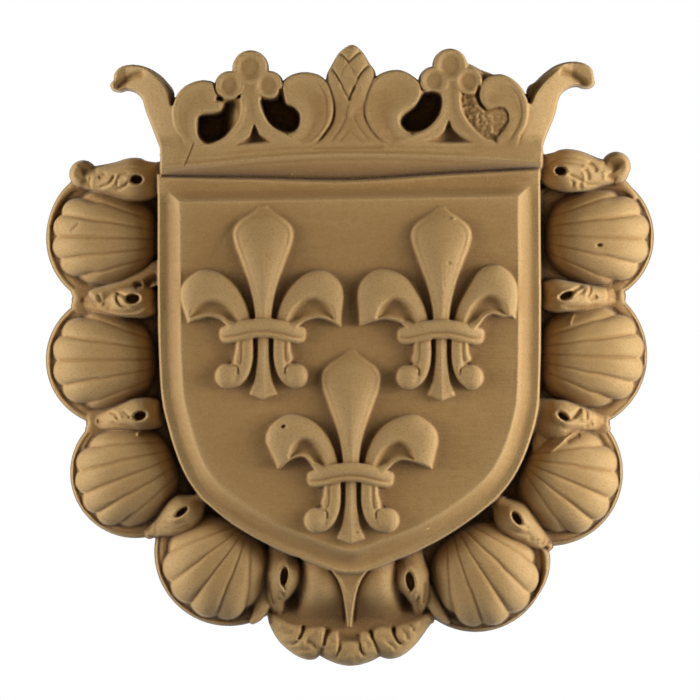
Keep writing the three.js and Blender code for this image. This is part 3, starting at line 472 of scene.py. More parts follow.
            (1, 0.7, [(32.2, -107.2), (32.4, -109.6)]),
        ],
        folds=[
            (0.8, [(24.8, -103), (27, -103), (28.7, -101.6)]),
            (0.5, [(29.4, -100.4), (28.8, -102.6), (29, -105)]),
        ],
    ),
]
LEAF_SHOULDER = 0.6  # the height of a leaf's edge, as a share of its middle's
LEAF_FALL, LEAF_FLATNESS = 2.4, 0.6  # the powers that round it
WEB_ROUNDING = 3
KNOB_EDGE, KNOB_HEIGHT, KNOB_ROUNDING = 9, 16, 2.2
HOLLOW_WIDTH, HOLLOW_DEPTH = 4, 2.6  # of the dip in a knob
EYE_FLOOR = 18
EYE_REACH = 7  # how far from an eye's middle its brim may change the canvas
BRIM_RISE, BRIM_OUT, BRIM_WIDTH = 0.9, 0.9, 1.2  # of the raised brim round an eye

# The crown. Its band rises from a crease above the shield's border, over a slope, to an upright face.
BAND_CREASE = [(-79, 74.6), (-40, 74), (0, 73.2), (40, 75.7), (80.5, 78)]
BAND_EDGE = [
    (-79.3, 77.6), (-76, 77.8), (-58, 79.2), (-40, 81), (-20, 82.3), (0, 82.9), (27, 82.6), (54, 81.6),
    (81, 80.2),
]
BAND_ENDS = [(-78.6, 78.2), (79.8, 80.4)]  # where painted shade lies
BAND_TOP = [(-79.3, 88), (0, 89), (81, 89)]
BAND_LOW, BAND_HIGH = BORDER_HEIGHT - 6, CROWN_HEIGHT - 1.4  # the slope's foot and top
BAND_SWELL = 0.85  # the power that rounds the slope
BAND_FACE = CROWN_HEIGHT - 1
BAND_BEAD = (0.6, 0.8, 1)  # rise, how far above the edge, width
BAND_FADE = (2, 4)  # how far below BAND_TOP the band's face ends, and over what height
CREASE_WIDTH, CREASE_DEPTH = 0.9, 1.6
BAND_LINES = [(-1.1, 0.35), (2.2, 0.3), (4.4, 0.22)]  # fine grooves: how far above the edge, and depth
CROWN_GROUND = [
    (-78, 76), (-75.5, 104), (-66, 111), (-48, 110), (-41.5, 116), (-34, 110), (-18, 115), (-9, 112),
    (0, 116), (10, 112), (20, 116), (34, 112), (42, 117), (50, 112), (64, 113), (75, 106), (79, 78),
]
CROWN_PLATE = [
    (-73, 82), (-73.5, 98), (-71.5, 107), (-65, 112), (-57.5, 112), (-51, 108), (-34, 107), (-27, 112),
    (-18, 115.5), (-10, 113), (0, 114), (10, 113.5), (19, 116.5), (27, 113), (34, 109), (50, 109),
    (56, 113), (63, 115), (71, 110), (73.8, 104), (73.5, 82),
]
TREFOIL_BACK_HEIGHT = CROWN_HEIGHT - 6
TREFOIL_BACK = [(46, 116), (49, 122.4), (51.6, 121.3), (55, 119.4), (60.5, 117.4), (60, 112), (50, 108)]
HORNS = [
    dict(
        outline=[
            (-79.2, 79), (-79.2, 86), (-80.9, 91), (-83, 96.5), (-85.3, 102.5), (-86.8, 107.4),
            (-89.5, 110.1), (-93, 111.1), (-96, 110.4), (-99, 111), (-100.2, 113.3), (-98.8, 115.3),
            (-98.5, 117.7), (-96.6, 120.2), (-93, 121.5), (-88.5, 121.4), (-84, 120), (-79.5, 117.2),
            (-76.2, 113.8), (-73.8, 109.8), (-73, 100), (-70, 90), (-68, 79),
        ],
        ledge=[(-86, 120.4), (-80.5, 115.8), (-77, 111.6), (-75.4, 107.5), (-74.8, 104)],
        curl=[(-98, 111.6), (-94.5, 113.8), (-90.5, 116.4), (-85.5, 118)],
    ),
    dict(
        outline=[
            (81.2, 79), (80.9, 87), (82.4, 92), (84.5, 97), (86.3, 102), (87.2, 106), (88.6, 109.6),
            (91.5, 111.8), (95, 112.7), (98, 111.9), (101, 112.1), (102.7, 114), (102.3, 116.5),
            (101.4, 120), (98, 122.3), (93, 122.9), (87, 121.5), (82, 118.2), (78, 114.4), (74.6, 111.3),
            (73.5, 100), (71, 90), (69, 79),
        ],
        ledge=[(91.5, 121.4), (86, 117.9), (81.5, 114), (78, 109.5), (75.8, 104.5)],
        curl=[(99, 112.9), (96, 115), (92.5, 117.3), (87.5, 118.8)],
    ),
]
HORN_TOP = CROWN_HEIGHT - 0.8
HORN_ROOT, HORN_RUN = 71, 15  # the distance from the middle where it starts to fall back, and its measure
HORN_FALL, HORN_BEND, HORN_LIMIT = 7, 1.2, 1.5  # the fall over one measure, its power, and the most measures
HORN_SHOULDER = (1.2, 1.4)  # fall, width
HORN_FOOT = (84, 86, 7)  # its lowest level, the level where it leaves the band's face, and over what height
LEDGE_HEIGHT, LEDGE_FADE = CROWN_HEIGHT - 9.5, 12
CURL_WIDTH, CURL_DEPTH = 2.2, 2.6
SCROLL_TOP = CROWN_HEIGHT - 0.4
SCROLL_SHOULDER = (1.5, 1.8)
SCROLL_FOOT = (85, 85.5, 4.5)
SCROLL_DISH, STEM_DISH = 0.9, 0.4  # how deep a scroll and a stem are dished
DISH_INWARD, DISH_RUN = 1, 6  # how far in from the edge the dish begins, and over what width it deepens
SCROLLS = [
    [
        (-57.5, 114.4), (-62, 115), (-67, 113.6), (-70.8, 110.8), (-73.3, 106.5), (-74.3, 101), (-73.3, 95),
        (-70.5, 89.5), (-67.5, 82), (-58, 82), (-58.5, 88.5), (-62.5, 91.5), (-63.3, 96), (-61.8, 100.3),
        (-57, 100.8), (-53.8, 102), (-53, 104.5), (-54.5, 107), (-55.8, 109.5), (-56.3, 112.5),
    ],
    [
        (-27.4, 115), (-23.2, 117.7), (-17.8, 118.4), (-12.5, 117), (-8.9, 113.5), (-6.9, 108), (-6.5, 102),
        (-7.9, 96.5), (-11.5, 91), (-16, 86), (-24, 82), (-26, 92), (-22.5, 94), (-20.9, 97.5),
        (-21.5, 101.4), (-24.5, 103.8), (-27, 105), (-28, 108), (-28.2, 111.5),
    ],
    [
        (28.6, 115), (24, 118.3), (19.5, 119.4), (14.5, 118.4), (10.3, 115.8), (7.2, 111), (5.9, 104.5),
        (6.6, 98.5), (9.1, 93.5), (13, 89), (17, 82), (25, 82), (26, 92), (22.8, 94.6), (21.2, 97.8),
        (22, 100.8), (25.5, 103), (28.5, 105), (30, 108), (30, 112),
    ],
    [
        (56, 115), (58.5, 116.7), (62.4, 117.6), (66, 116.8), (69.8, 114.3), (72.7, 110.8), (74.6, 106),
        (75, 101.5), (74, 96), (71.5, 91), (69, 82), (60, 82), (62, 91), (65, 94), (66.5, 98), (65.5, 101.5),
        (61, 102.8), (57, 102.8), (55, 105), (54.3, 109), (54.6, 112.5),
    ],
]
RIM_WIDTH = 0.9  # of the fine grooves along the scrolls' rims
SCROLL_RIMS = [  # depth, points
    (0.25, [(-66, 111), (-69.6, 107), (-71.2, 101.5), (-70, 95), (-66.4, 89)]),
    (0.5, [(-14.5, 114.6), (-11, 111), (-9.2, 105), (-9.6, 98.5), (-12.4, 93), (-17, 88.6)]),
    (0.15, [(14.6, 115.4), (10.4, 111.2), (8.6, 105), (9.4, 98.5), (12.2, 93.4), (17, 88.8)]),
    (0.6, [(66.5, 113), (70.4, 108.6), (72, 102), (70.6, 95.6), (67, 89.6)]),
]
ROLL_WIDTH, ROLL_RISE = 1.7, 0.7  # of the rolls along the edges of a trefoil's stem
TREFOIL_MIDDLE = CROWN_HEIGHT - 0.8
LOBE_TOP = CROWN_HEIGHT + 0.1
LOBE_FALLS = (0.3, 2.4)  # how deep a lobe's shoulder falls where it meets the others, and away from them
LOBE_PARTING = 5  # how far from the head's middle the lobes begin to part
HEAD_MARGIN, MIDDLE_MARGIN = 3, 1  # of the canvas round the lobes, and of the form between them
LOBE_ROUNDING = 2
LOBE_DISH, DISH_RADIUS, DISH_SLOPE = 1.5, 0.88, 0.45  # depth, and shares of the lobe's radius
TREFOILS = [
    dict(
        lobes=[(-41.5, 120.2, 7.4), (-50.2, 112.7, 6.2), (-33.8, 112.9, 6.1)],
        stem=[
            (-45.3, 113), (-45.6, 102), (-46.8, 97.5), (-49.5, 93.8), (-54, 90.4), (-60, 88.2), (-64, 82),
            (-16, 82), (-20, 89), (-26, 92.2), (-30.5, 94.6), (-34, 98), (-36.5, 102.5), (-37.5, 113),
        ],
        rolls=[
            [(-44.5, 107), (-44.6, 101), (-46.2, 96.6), (-49.5, 92.8), (-54.5, 89.6), (-61, 87.8)],
            [(-38.2, 106), (-37, 101.6), (-34.3, 97), (-30.5, 93.8), (-25.5, 91.6)],
        ],
    ),
    dict(
        lobes=[(42.1, 121.2, 7.1), (35.3, 114.6, 6.2), (49.8, 114.3, 5.9)],
        stem=[
            (37.8, 115), (38.4, 105), (36.8, 100), (33.5, 96), (29, 93.5), (24, 91.5), (18, 89), (14, 82),
            (68, 82), (62, 88.5), (57, 91.5), (51.5, 96), (48, 100.5), (46.8, 105), (46.5, 115),
        ],
        rolls=[
            [(39.4, 106), (37.8, 100), (34.3, 95.2), (29.5, 92.6), (24, 90.6)],
            [(45.6, 110), (45.9, 104.5), (47.4, 99.8), (51, 95), (56.5, 90.6)],
        ],
    ),
]
SCROLL_SLOTS = [  # width, depth, points
    (1.1, 3, [(54.4, 113), (53.4, 109), (54.4, 105.4), (57, 102.6)]),
    (1.2, 6, [(-55.6, 106.4), (-54.4, 107.2), (-53.2, 106.6)]),
    (1.2, 6, [(-28.6, 111), (-28.9, 108.6), (-30, 106.8)]),
]
OPENINGS = [  # how far the right-hand wall leans in, and the outline
    (8, [
        (-62.4, 99.6), (-57, 100.3), (-53.6, 101.2), (-52.2, 103.2), (-51.2, 105.3), (-48.5, 105.8),
        (-46.4, 105), (-46.5, 99), (-50.4, 93.4), (-54.7, 90.2), (-59.5, 89), (-62.6, 91.4), (-63.1, 96),
    ]),
    (0, [
        (-36.6, 106.4), (-33, 106.4), (-30.5, 106.9), (-28.4, 108.8), (-27.6, 107), (-26.5, 104.4),
        (-23.5, 103.2), (-21.3, 100.6), (-21.3, 96.6), (-23.4, 93.9), (-27.4, 93.7), (-32.2, 96.1),
        (-34.9, 99.8), (-36.3, 103.5),
    ]),
    (0, [
        (21.9, 96.4), (22.2, 98.9), (24.2, 100.9), (27, 103), (28.9, 105.4), (30.4, 108), (32, 109.2),
        (35, 109.5), (37.4, 108.5), (38.3, 105.5), (37.3, 100.7), (34.2, 96.7), (30.5, 94.3), (27, 93.6),
        (24, 94.2),
    ]),
]
OPENING_FLOOR, OPENING_WALL = CROWN_FLOOR + 6, 1.8
OPENING_SHOULDER = (1.4, 2)
LEANING_TOP = CROWN_HEIGHT - 3  # of a wall that leans in
RECESSES = [  # under the stems of the trefoils, each from its tip
    [(-39.7, 95.8), (-37.6, 91.6), (-33.2, 89.2), (-41, 88.7), (-46.9, 87.8), (-41.6, 91.2)],
    [
        (41.4, 97.4), (39.6, 93.3), (36.6, 90.7), (32.3, 89.2), (41, 89), (50.7, 89.1), (46.3, 91.2),
        (43.1, 94),
    ],
]
RECESS_LOW, RECESS_HIGH = CROWN_HEIGHT - 6.5, CROWN_HEIGHT - 2  # its floor below the tip and at the corners
RECESS_SHOULDER = (0.9, 1.2)
RECESS_WALL = 1
RECESS_LEFT, RECESS_RIGHT = (1.2, 0), (1.3, 0.5)  # how fast its floor rises to each side, and how late
BUD = [
    (1, 129.9), (-3.8, 127), (-7, 122), (-9.6, 115.5), (-7, 106), (0, 97), (7.5, 106), (10.8, 117),
    (8, 122.5), (5, 127.3),
]
BUD_SCALES = [  # width, depth, points
    (0.9, 1.3, [(-4, 126.6), (-2, 124.2), (-0.1, 121.8)]),
    (0.9, 1.3, [(5, 127.4), (2.6, 125.1), (-0.1, 122.1)]),
    (0.9, 1.3, [(-7.9, 121), (-6, 117.8), (-4, 114)]),
    (0.9, 1.3, [(8.7, 122), (5.8, 118.8), (3, 114.6)]),
    (0.8, 0.45, [(0.2, 121.4), (1.3, 118.8), (2.6, 116.4)]),
    (0.8, 0.45, [(-0.8, 121.6), (-2.4, 119.6), (-3.7, 115.8)]),
    (0.8, 0.8, [(-4.3, 114.6), (-2.4, 110.8), (-0.2, 106.4)]),
    (1, 1.5, [(2.4, 112.2), (0.9, 109.4), (-0.1, 106.2)]),
    (0.8, 0.5, [(3.3, 114.6), (2.5, 112.6), (1.6, 110.6)]),
    (0.8, -0.3, [(-5.6, 112), (-4.6, 114.1), (-3.6, 111.6)]),
    (0.8, -0.3, [(3, 111.4), (4.4, 112.9), (5.4, 110.6)]),
    (0.9, 0.55, [(-0.3, 105.4), (-1.2, 100), (-3.8, 94.3), (-7.8, 88.8)]),
    (0.9, 0.4, [(0, 94.6), (-1.8, 92), (-4.4, 88.9)]),
    (0.9, 0.4, [(0.6, 93.6), (2.8, 91.2), (5.8, 88.6)]),
    (0.9, 0.5, [(1.6, 100.4), (3.4, 96), (6.4, 91.8), (8.4, 90)]),
    (0.9, 0.4, [(-5.6, 98), (-8, 94), (-11.6, 90)]),
]
BUD_BRIM, BUD_RISE, BUD_ROUNDING = CROWN_HEIGHT - 2.6, 2.8, 6
LEAF_BRIM, LEAF_RISE, LEAF_ROUNDING = CROWN_HEIGHT - 1.9, 1.3, 3  # of the leaf under the bud
LEAF_FOOT = 86
LEAF_MARK, MARK_OUTWARD = (0.8, 0.6), 0.4  # width and depth of the groove along its edge, and how far outside
LEAF_SIDES = [
    [
        (-9.8, 114.8), (-7.5, 110.2), (-6.4, 105), (-6.2, 100), (-7.3, 96.5), (-9.6, 93), (-12.6, 89.6),
        (-17, 86.6),
    ],
    [
        (10.4, 115.4), (7.7, 110.6), (6.4, 105), (6.3, 100), (7.7, 96.3), (10.4, 92.3), (13.6, 89.4),
        (17.6, 87),
    ],
]
FILLING = [
    (46.8, 108.6), (52.5, 108.3), (53.6, 104.8), (56.8, 101.8), (60, 103.2), (64, 103.6), (66.4, 101.2),
    (66.6, 97.3), (64, 94.3), (62.2, 90.8), (59.2, 91.8), (57.4, 90.2), (52.8, 93.4), (49, 98.3), (47, 103.5),
]
FILLING_HEIGHT = 34.4
FILLING_WALL = 0.7
FILLING_SWELL = (48, 8, 0.9)  # from what x, over what width and by how much it rises to the right
FILLING_SEAM = (55, 6, 1.3)  # the same for the groove round its edge
SEAM_INWARD, SEAM_WIDTH = 0.3, 0.7
GRAIN, LUMPS = (0.32, 0.28), (0.7, 0.16)  # size, rise

# The shell under the shield's point
PENDANT_EDGE = [
    (-31, -84), (-35, -98), (-34, -110.4), (-32.4, -115), (-30, -119.2), (-26.6, -122.8), (-22.4, -125.9),
    (-18, -127.6), (-14.6, -127.4), (-12.7, -126), (-12.4, -126), (-9, -127.8), (-4.6, -129.5), (0, -130.2),
    (4.6, -129.7), (9.2, -128.2), (12.6, -126.4), (12.9, -126.3), (15.6, -127.2), (19, -127.1), (23, -125.3),
    (28, -120.8), (33.4, -113.4), (35.5, -110.6), (35, -98), (31, -84),
]
BOWL_ROWS = [  # level, half width, height of the middle
    (-84, 21, 23.5), (-92, 21.6, 25.4), (-97, 21.6, 25), (-100.5, 21.4, 23.6), (-103.5, 21.6, 20.4),
    (-106.5, 22.6, 16.2), (-110, 25.5, 12.8), (-116, 30, 12),
]
BOWL_MIDDLE = 11.5  # how far from the keel's middle it lies
BOWL_ROUNDNESS, BOWL_DISH = 2.2, 0.2  # the power that rounds it outwards, and its fall towards the keel
BOWL_SOFTNESS = 0.6
PENDANT_MARGIN, PENDANT_PLATE = 1, PLATE_HEIGHT + 1
VALLEY_HEIGHT = 5.5
VALLEY_RISE = (98, 16, 7)  # below what level, over what height and by how much the ground rises to the fringe
LOBE_TOPS = [
    (-33, -108.5), (-30, -110), (-26, -112.2), (-21, -113.2), (-19.6, -116), (-18, -114), (-11, -113.6),
    (-9.6, -117.4), (-8, -115.6), (-5, -115.4), (-4, -119.4), (4, -119.4), (5, -116), (8, -115.6),
    (9.6, -118), (11.2, -114), (17, -113.6), (18.6, -116.4), (20.4, -113.4), (25, -112), (30, -110),
    (33, -108.5),
]
SKIRT_EDGE, SKIRT_HEIGHT, SKIRT_ROUNDING = 7, 16.5, 6.5
LOBE_STEP = (1.8, 0.3)  # the height over which a lobe's upper edge rises, and the share at the edge itself
FRINGE_GRAIN = (0.7, 0.2)  # size, rise
GRAIN_FROM, GRAIN_RUN = 2, 3  # it starts this far above a lobe's upper edge, and is full over this way
KEEL_HOLLOW = (1.1, 0.6, 0.9)  # of the channels beside it: depth, how far out, width
KEEL_FOOT = 5  # over this way up from its foot the channels come in
KEEL_DISH = (2.2, 1.6, 3)  # width of the dish's slope, the half width up to which there is none, and the run
KEEL = [  # level, half width, height
    (-86, 9, 27.6), (-90.5, 7.1, 27.4), (-92, 6, 27), (-94, 4.7, 26.6), (-97, 3.5, 25.8), (-100, 2.7, 24.9),
    (-104, 2, 23), (-108, 1.4, 20.4), (-111.5, 1, 18), (-114, 0.6, 16.4),
]
PENDANT_MARKS = [  # width, depth, points
    (1.2, 2, [(-19.4, -113.4), (-19.8, -116), (-21.4, -119.4)]),
    (1.1, 1.3, [(-21.4, -119.8), (-24, -121.4), (-27.6, -120.6)]),
    (1.2, 2, [(-9.4, -115), (-10.2, -118.5), (-10.4, -122)]),
    (1.2, 2.2, [(-11, -122.6), (-12, -124.6), (-13.2, -126.8)]),
    (1, 1.5, [(-4.6, -116), (-4.3, -119.4), (-4.2, -122.6), (-5.4, -126.6)]),
    (1, 1.5, [(4.2, -116.6), (4.4, -120), (4.9, -123.4), (6, -126)]),
    (1.2, 2, [(8.6, -115), (9.6, -118.4), (11.2, -121.8), (12.8, -126.4)]),
    (1.2, 2.4, [(18.4, -114), (18.9, -117), (20.2, -119.8), (21.8, -121)]),
    (1.4, 1.3, [(25.4, -112.6), (26.4, -114.4), (26.6, -116.4)]),
    (1.2, 0.7, [(-24, -122.8), (-20.5, -123.8), (-16.5, -123.5)]),
    (1.4, 0.9, [(-18.5, -119.8), (-15.5, -121), (-13.6, -123.2)]),
    (1.2, 0.9, [(14.6, -120), (17.5, -121.4), (19, -123.4)]),
    (1.6, 0.8, [(-30, -114.8), (-27, -116.6), (-23.4, -116.2)]),
    (1.4, 0.9, [(22, -113.6), (23.6, -116.6), (24.6, -119.5)]),
    (1.4, 0.8, [(30, -111.6), (29, -114.6), (27.2, -116.6)]),
    (1.3, -0.7, [(-11.4, -115), (-12, -119), (-13, -122)]),
    (1, -0.5, [(-5.7, -117), (-5.6, -122), (-6.4, -125)]),
    (1, -0.5, [(5.6, -118), (6, -122), (7, -125.4)]),
    (1.4, -0.6, [(-17.8, -114.6), (-18.4, -117.6), (-20, -120.6)]),
]

# Accidents of the moulding and its use
CRACKS = [  # width, depth, points
    (0.6, 0.85, [(-64.8, 88.8), (-66.4, 85), (-67.4, 82.4), (-69.4, 78)]),
    (0.6, 0.22, [(-15, 76), (-17.4, 70.6), (-20, 65)]),
    (1.4, 0.16, [(-45, 60), (-53, 47.5), (-62, 33)]),
    (0.8, 0.7, [(-116.6, 51.9), (-115.4, 53), (-113, 55.2)]),
    (0.7, -0.9, [(92.3, 12.5), (92.9, 15), (94.2, 17.4)]),
    (0.7, -0.5, [(-87.4, -67.4), (-86.6, -69.4), (-84.8, -70.4)]),
    (0.6, 0.2, [(-78.8, 67.4), (-76.4, 70), (-74.4, 73)]),
    (0.6, 0.16, [(-78.4, 64.6), (-76, 67.6), (-73.6, 70.4)]),
    (0.6, 0.14, [(-77, 62), (-74.6, 65)]),
    (1.2, 0.14, [(-33, 62), (-41, 50), (-47, 40)]),
    (0.8, 0.2, [(-109.4, 48.6), (-107.6, 50), (-105.4, 51)]),
]
PINHOLES = [  # x, z, half length, half width, turn in degrees, depth
    (104.5, 46, 1.1, 0.6, 0, 2.2), (-27.5, -29.8, 1, 0.6, 25, 2), (41.5, 38.5, 0.8, 0.6, 0, 0.5),
    (61, 56.2, 0.9, 0.4, 40, 0.3), (-112, 70.5, 0.7, 0.5, 0, 0.5), (3, -74, 0.5, 0.5, 0, 0.5),
]
PINHOLE_WALL = 0.5
ACCIDENT_REACH = 3
BURRS = [  # x, z, radius, rise
    (-24, 75.6, 0.9, 1.1), (-71.5, 75.4, 0.7, 0.7), (43.5, 57, 0.9, 1), (-88.5, -33, 0.9, 2.5),
    (-87.6, -32.2, 0.5, 2), (65.4, 35, 0.5, 0.4), (82.8, 43, 0.6, 1.5), (0.3, -130, 0.8, 1.5),
    (-116.6, -44.5, 0.7, 1.5), (-99.5, 112.8, 0.7, -2), (-98.2, 117, 0.7, -1.6), (102.3, 114.8, 0.7, -2),
    (101.6, 118.8, 0.7, -1.6),
]

# The finish: its tones, and how each is laid over the last. A layer shows where a noise (scale, detail and
# stretch) or a note on the mesh lies between two values, up to a strength.
TAN, EARTHY, LIGHT = (0.345, 0.205, 0.073, 1), (0.3, 0.172, 0.058, 1), (0.39, 0.245, 0.097, 1)
# BROWN and DUSKY paint shade, with some dirt, into the hollows; PALE paints highlight, with some wear, where
# the relief stands out
BROWN, DUSKY, PALE = (0.155, 0.08, 0.037, 1), (0.1, 0.065, 0.038, 1), (0.5, 0.345, 0.16, 1)
FINISH_LAYERS = [
    (EARTHY, (28, 3), 0.5, 0.75, 0.6),
    (LIGHT, (70, 4, (1, 1, 4)), 0.5, 0.75, 0.55),
    (EARTHY, (260, 3, (1, 1, 2)), 0.5, 0.7, 0.7),
    # the notes: painted shade and dirt in the hollows, then painted highlight and wear on what stands out
    (BROWN, "hollow", 0, 0.75, 0.85),
    (DUSKY, "hollow", 0.6, 1, 0.8),
    (PALE, "highlight_and_wear", 0.02, 0.5, 0.55),
    (EARTHY, (1300, 2), 0.5, 0.75, 0.8),
    (LIGHT, (900, 3), 0.55, 0.75, 0.6),
]
FINISH_SURFACE = {
    "Roughness": 0.72, "Specular IOR Level": 0.3,
    "Sheen Weight": 0.12, "Sheen Roughness": 0.5, "Sheen Tint": (1, 0.94, 0.8, 1),
}
WEAVE = [(1000, 3, (1, 1, 1.4)), (1100, 2, (0.12, 1, 1))]  # the two noises of the fine surface
WEAVE_HEIGHT, WEAVE_STRENGTH = 0.0003, 0.5

# Where the finish is painted darker, for dirt and painted shade in the hollows, and paler, for wear and
# painted highlight where it stands out. A point is compared with its surroundings, as wide as the sizes
# below. The weights are for how far it lies below its wide, near and close surroundings, low down and near
# the outline.
SHADE_AND_WEAR_SIZES = (5, 1.4, 0.6)
SHADE_AND_DIRT_WEIGHTS, HIGHLIGHT_AND_WEAR_WEIGHTS = (0.12, 0.09, 0.2, 0.22, 0.3), (-0.15, -0.3, -1.1, -0.5, -0.6)
SHADE_AND_DIRT_LIMITS, HIGHLIGHT_AND_WEAR_LIMITS = (0, 0.35), (-0.3, 0.36)  # of what the wide surroundings count
# raised forms are painted paler, for wear and painted highlight
RAISED_FROM, RAISED_RUN, RAISED_WEIGHT = FIELD_HEIGHT + 2.5, 1.5, 0.12
MOST_SHADE_AND_DIRT = 0.9
LOW_DOWN, OUTERMOST = (11, 6), (1.5, 1.2)  # from what height or distance down it counts, and the run to full
RIM_EDGE, RIM_LOW, LOW_SHELLS, FRINGE_ENDS = (2.8, 1.4), (12, 4), (-60, 20), (42, 6)  # the same, for the painted shade
# strengths of the painted shade on the shells' rims, left, right and low down, and at the band's ends with
# its size there
LEFT_RIM_SHADE, RIGHT_RIM_SHADE, LOW_RIM_SHADE, BAND_END_SHADE, END_SIZE = 0.12, 0.5, 0.25, 0.5, 3
FRINGE_SHADE, SLOPE_SHADE = (0.2, -110, 11), (0.16, 76.5, 5.5)  # strength, level, width
SLOPE_HALF = 79

# The studio, in metres and watts
WARM, COOL = (1, 0.95, 0.86), (0.9, 0.97, 1)
LIGHTS = [  # name, angles off the front and round it, distance, size, power, colour
    ("right broad", 58, 2, 0.8, 0.4, 2.75, WARM),
    ("right upper", 60, 35, 1.2, 0.6, 0.7, WARM),
    ("right side", 76, 2, 0.8, 0.4, 6, WARM),
    ("right edge", 86, 4, 0.8, 0.4, 2.1, COOL),
    ("right lower", 60, -40, 1, 0.5, 0.75, WARM),
    ("left broad", 60, 178, 1.5, 0.75, 7.4, WARM),
    ("left side", 77, 176, 0.8, 0.4, 4.6, WARM),
    ("left edge", 90, 178, 0.8, 0.4, 1.7, COOL),
    ("behind", 180, 0, 1.5, 1, 12, WARM),
]
FILL_LIGHT = 0.075  # how bright the white surroundings are for the ornament
FLOOR_HALF, FLOOR_DROP, FLOOR_TONE, FLOOR_GLOW = 1.5, 0.6, (0.8, 0.8, 0.8, 1), 0.75
CAMERA_DISTANCE, SHOWN_WIDTH = 6.0, 0.2929
CAMERA_X, CAMERA_Z = 0.0002, 0.0021
CAMERA_CLIP = (0.1, 30)
SENSOR_WIDTH = 36  # in millimetres, as a lens is
RELIEF_DEPTH = 0.03  # how far in front of the back the picture is SHOWN_WIDTH wide

columns = np.arange(*CANVAS_X, STEP)
rows = np.arange(*CANVAS_Z, STEP)
height = np.zeros((len(rows), len(columns)))
edge = np.full(height.shape, OUTSIDE)  # distance inside the whole ornament's outline
chance = np.random.default_rng(SEED)


def ease(t):
    """0 up to t = 0 and 1 from t = 1 on, with a smooth way between."""
    t = np.clip(t, 0, 1)
    return t * t * (3 - 2 * t)


def below(value, start, run):
    """0 where a value is above start, and 1 from run below it on."""
    return ease((start - value) / run)


def mix(a, b, t):
    return a + (b - a) * t


def bump(distance, width):
    """1 at distance 0, fading to almost nothing at width."""
    return np.exp(BUMP_FALL * (distance / width) ** 2)


def round_over(depth, radius):
    """From 0 at the edge of a form to 1 at radius inside it, as a quarter of a circle."""
    return np.sqrt(1 - (1 - np.clip(depth / radius, 0, 1)) ** 2)


def shoulder(depth, fall, width):
    """How much lower a rounded form is towards its edge: by fall at the edge, and by nothing at width in."""
    return fall * (1 - round_over(depth, width))


def between(table, at):
    """Reads a table of rows at any value of their first number, and gives their other numbers there."""
    table = np.asarray(table, float)
    table = table[np.argsort(table[:, 0])]
    others = [np.interp(at, table[:, 0], column) for column in table.T[1:]]
    return others if len(others) > 1 else others[0]


def curve(points, steps, closed=False):
    """A smooth line through rows of numbers, as steps + 1 rows, or as steps rows where it closes."""
    points = np.asarray(points, float)
    count = len(points)
    last = count if closed else count - 1
    t = np.linspace(0, last, steps + 1)
    t = t[:-1] if closed else t
    i = np.minimum(t.astype(int), last - 1)
    f = (t - i)[:, None]
    a, b, c, d = (points[(i + k) % count if closed else np.clip(i + k, 0, count - 1)] for k in (-1, 0, 1, 2))
    start, end, rise = (c - a) / 2, (d - b) / 2, c - b
    return b + start * f + (3 * rise - 2 * start - end) * f**2 + (start + end - 2 * rise) * f**3


def around(points, margin=MARGIN):
    """The part of the canvas round some points: its place, and the x and z of its points."""
    points = np.asarray(points)[:, :2]
    left, right = np.searchsorted(columns, [points[:, 0].min() - margin, points[:, 0].max() + margin])
    bottom, top = np.searchsorted(rows, [points[:, 1].min() - margin, points[:, 1].max() + margin])
    x, z = np.meshgrid(columns[left:right], rows[bottom:top])
    return (slice(bottom, top), slice(left, right)), x, z


def trace(line, x, z):
    """Distance to a line, place along it from 0 to 1, and the side, which is 1 on its left."""
    nearest = np.full(x.shape, np.inf)
    place, side = np.zeros(x.shape), np.ones(x.shape)
    line = np.asarray(line)[:, :2]
    for k, ((ax, az), (bx, bz)) in enumerate(zip(line[:-1], line[1:])):
        dx, dz = bx - ax, bz - az
        f = np.clip(((x - ax) * dx + (z - az) * dz) / (dx * dx + dz * dz + NEVER_ZERO**2), 0, 1)
        ex, ez = x - ax - f * dx, z - az - f * dz
        away = ex * ex + ez * ez
        nearer = away < nearest
        nearest[nearer] = away[nearer]
        place[nearer] = (k + f[nearer]) / (len(line) - 1)
        side[nearer] = np.where(dx * ez - dz * ex < 0, -1, 1)[nearer]
    return np.sqrt(nearest), place, side


def inside(outline, x, z):
    """Distance to a closed outline, positive inside it."""
    closed = np.vstack([outline, outline[:1]])
    within = np.zeros(x.shape, bool)
    for (ax, az), (bx, bz) in zip(closed[:-1], closed[1:]):
        if az != bz:
            within ^= ((az > z) != (bz > z)) & (x < ax + (z - az) * (bx - ax) / (bz - az))
    away = trace(closed, x, z)[0]
    return np.where(within, away, -away)


def laid(outline, steps=0, margin=MARGIN):
    """Lays a closed outline on the canvas, as a smooth one where steps are given. Returns its part of the
    canvas, the x and z of the points there and their distance inside it."""
    outline = curve(outline, steps, closed=True) if steps else np.asarray(outline, float)
    where, x, z = around(outline, margin)
    return where, x, z, inside(outline, x, z)


def disc(x0, z0, radius):
    """The same for a round outline."""
    where, x, z = around([(x0, z0)], radius + MARGIN)
    return where, x, z, radius - np.hypot(x - x0, z - z0)


def oval(x0, z0, long, wide, turn, x, z):
    """Distance inside an ellipse, nearly, from its middle, its half length and width and its turn."""
    cos, sin = math.cos(math.radians(turn)), math.sin(math.radians(turn))
    u, v = (x - x0) * cos + (z - z0) * sin, (z - z0) * cos - (x - x0) * sin
    return (1 - np.hypot(u / long, v / wide)) * wide


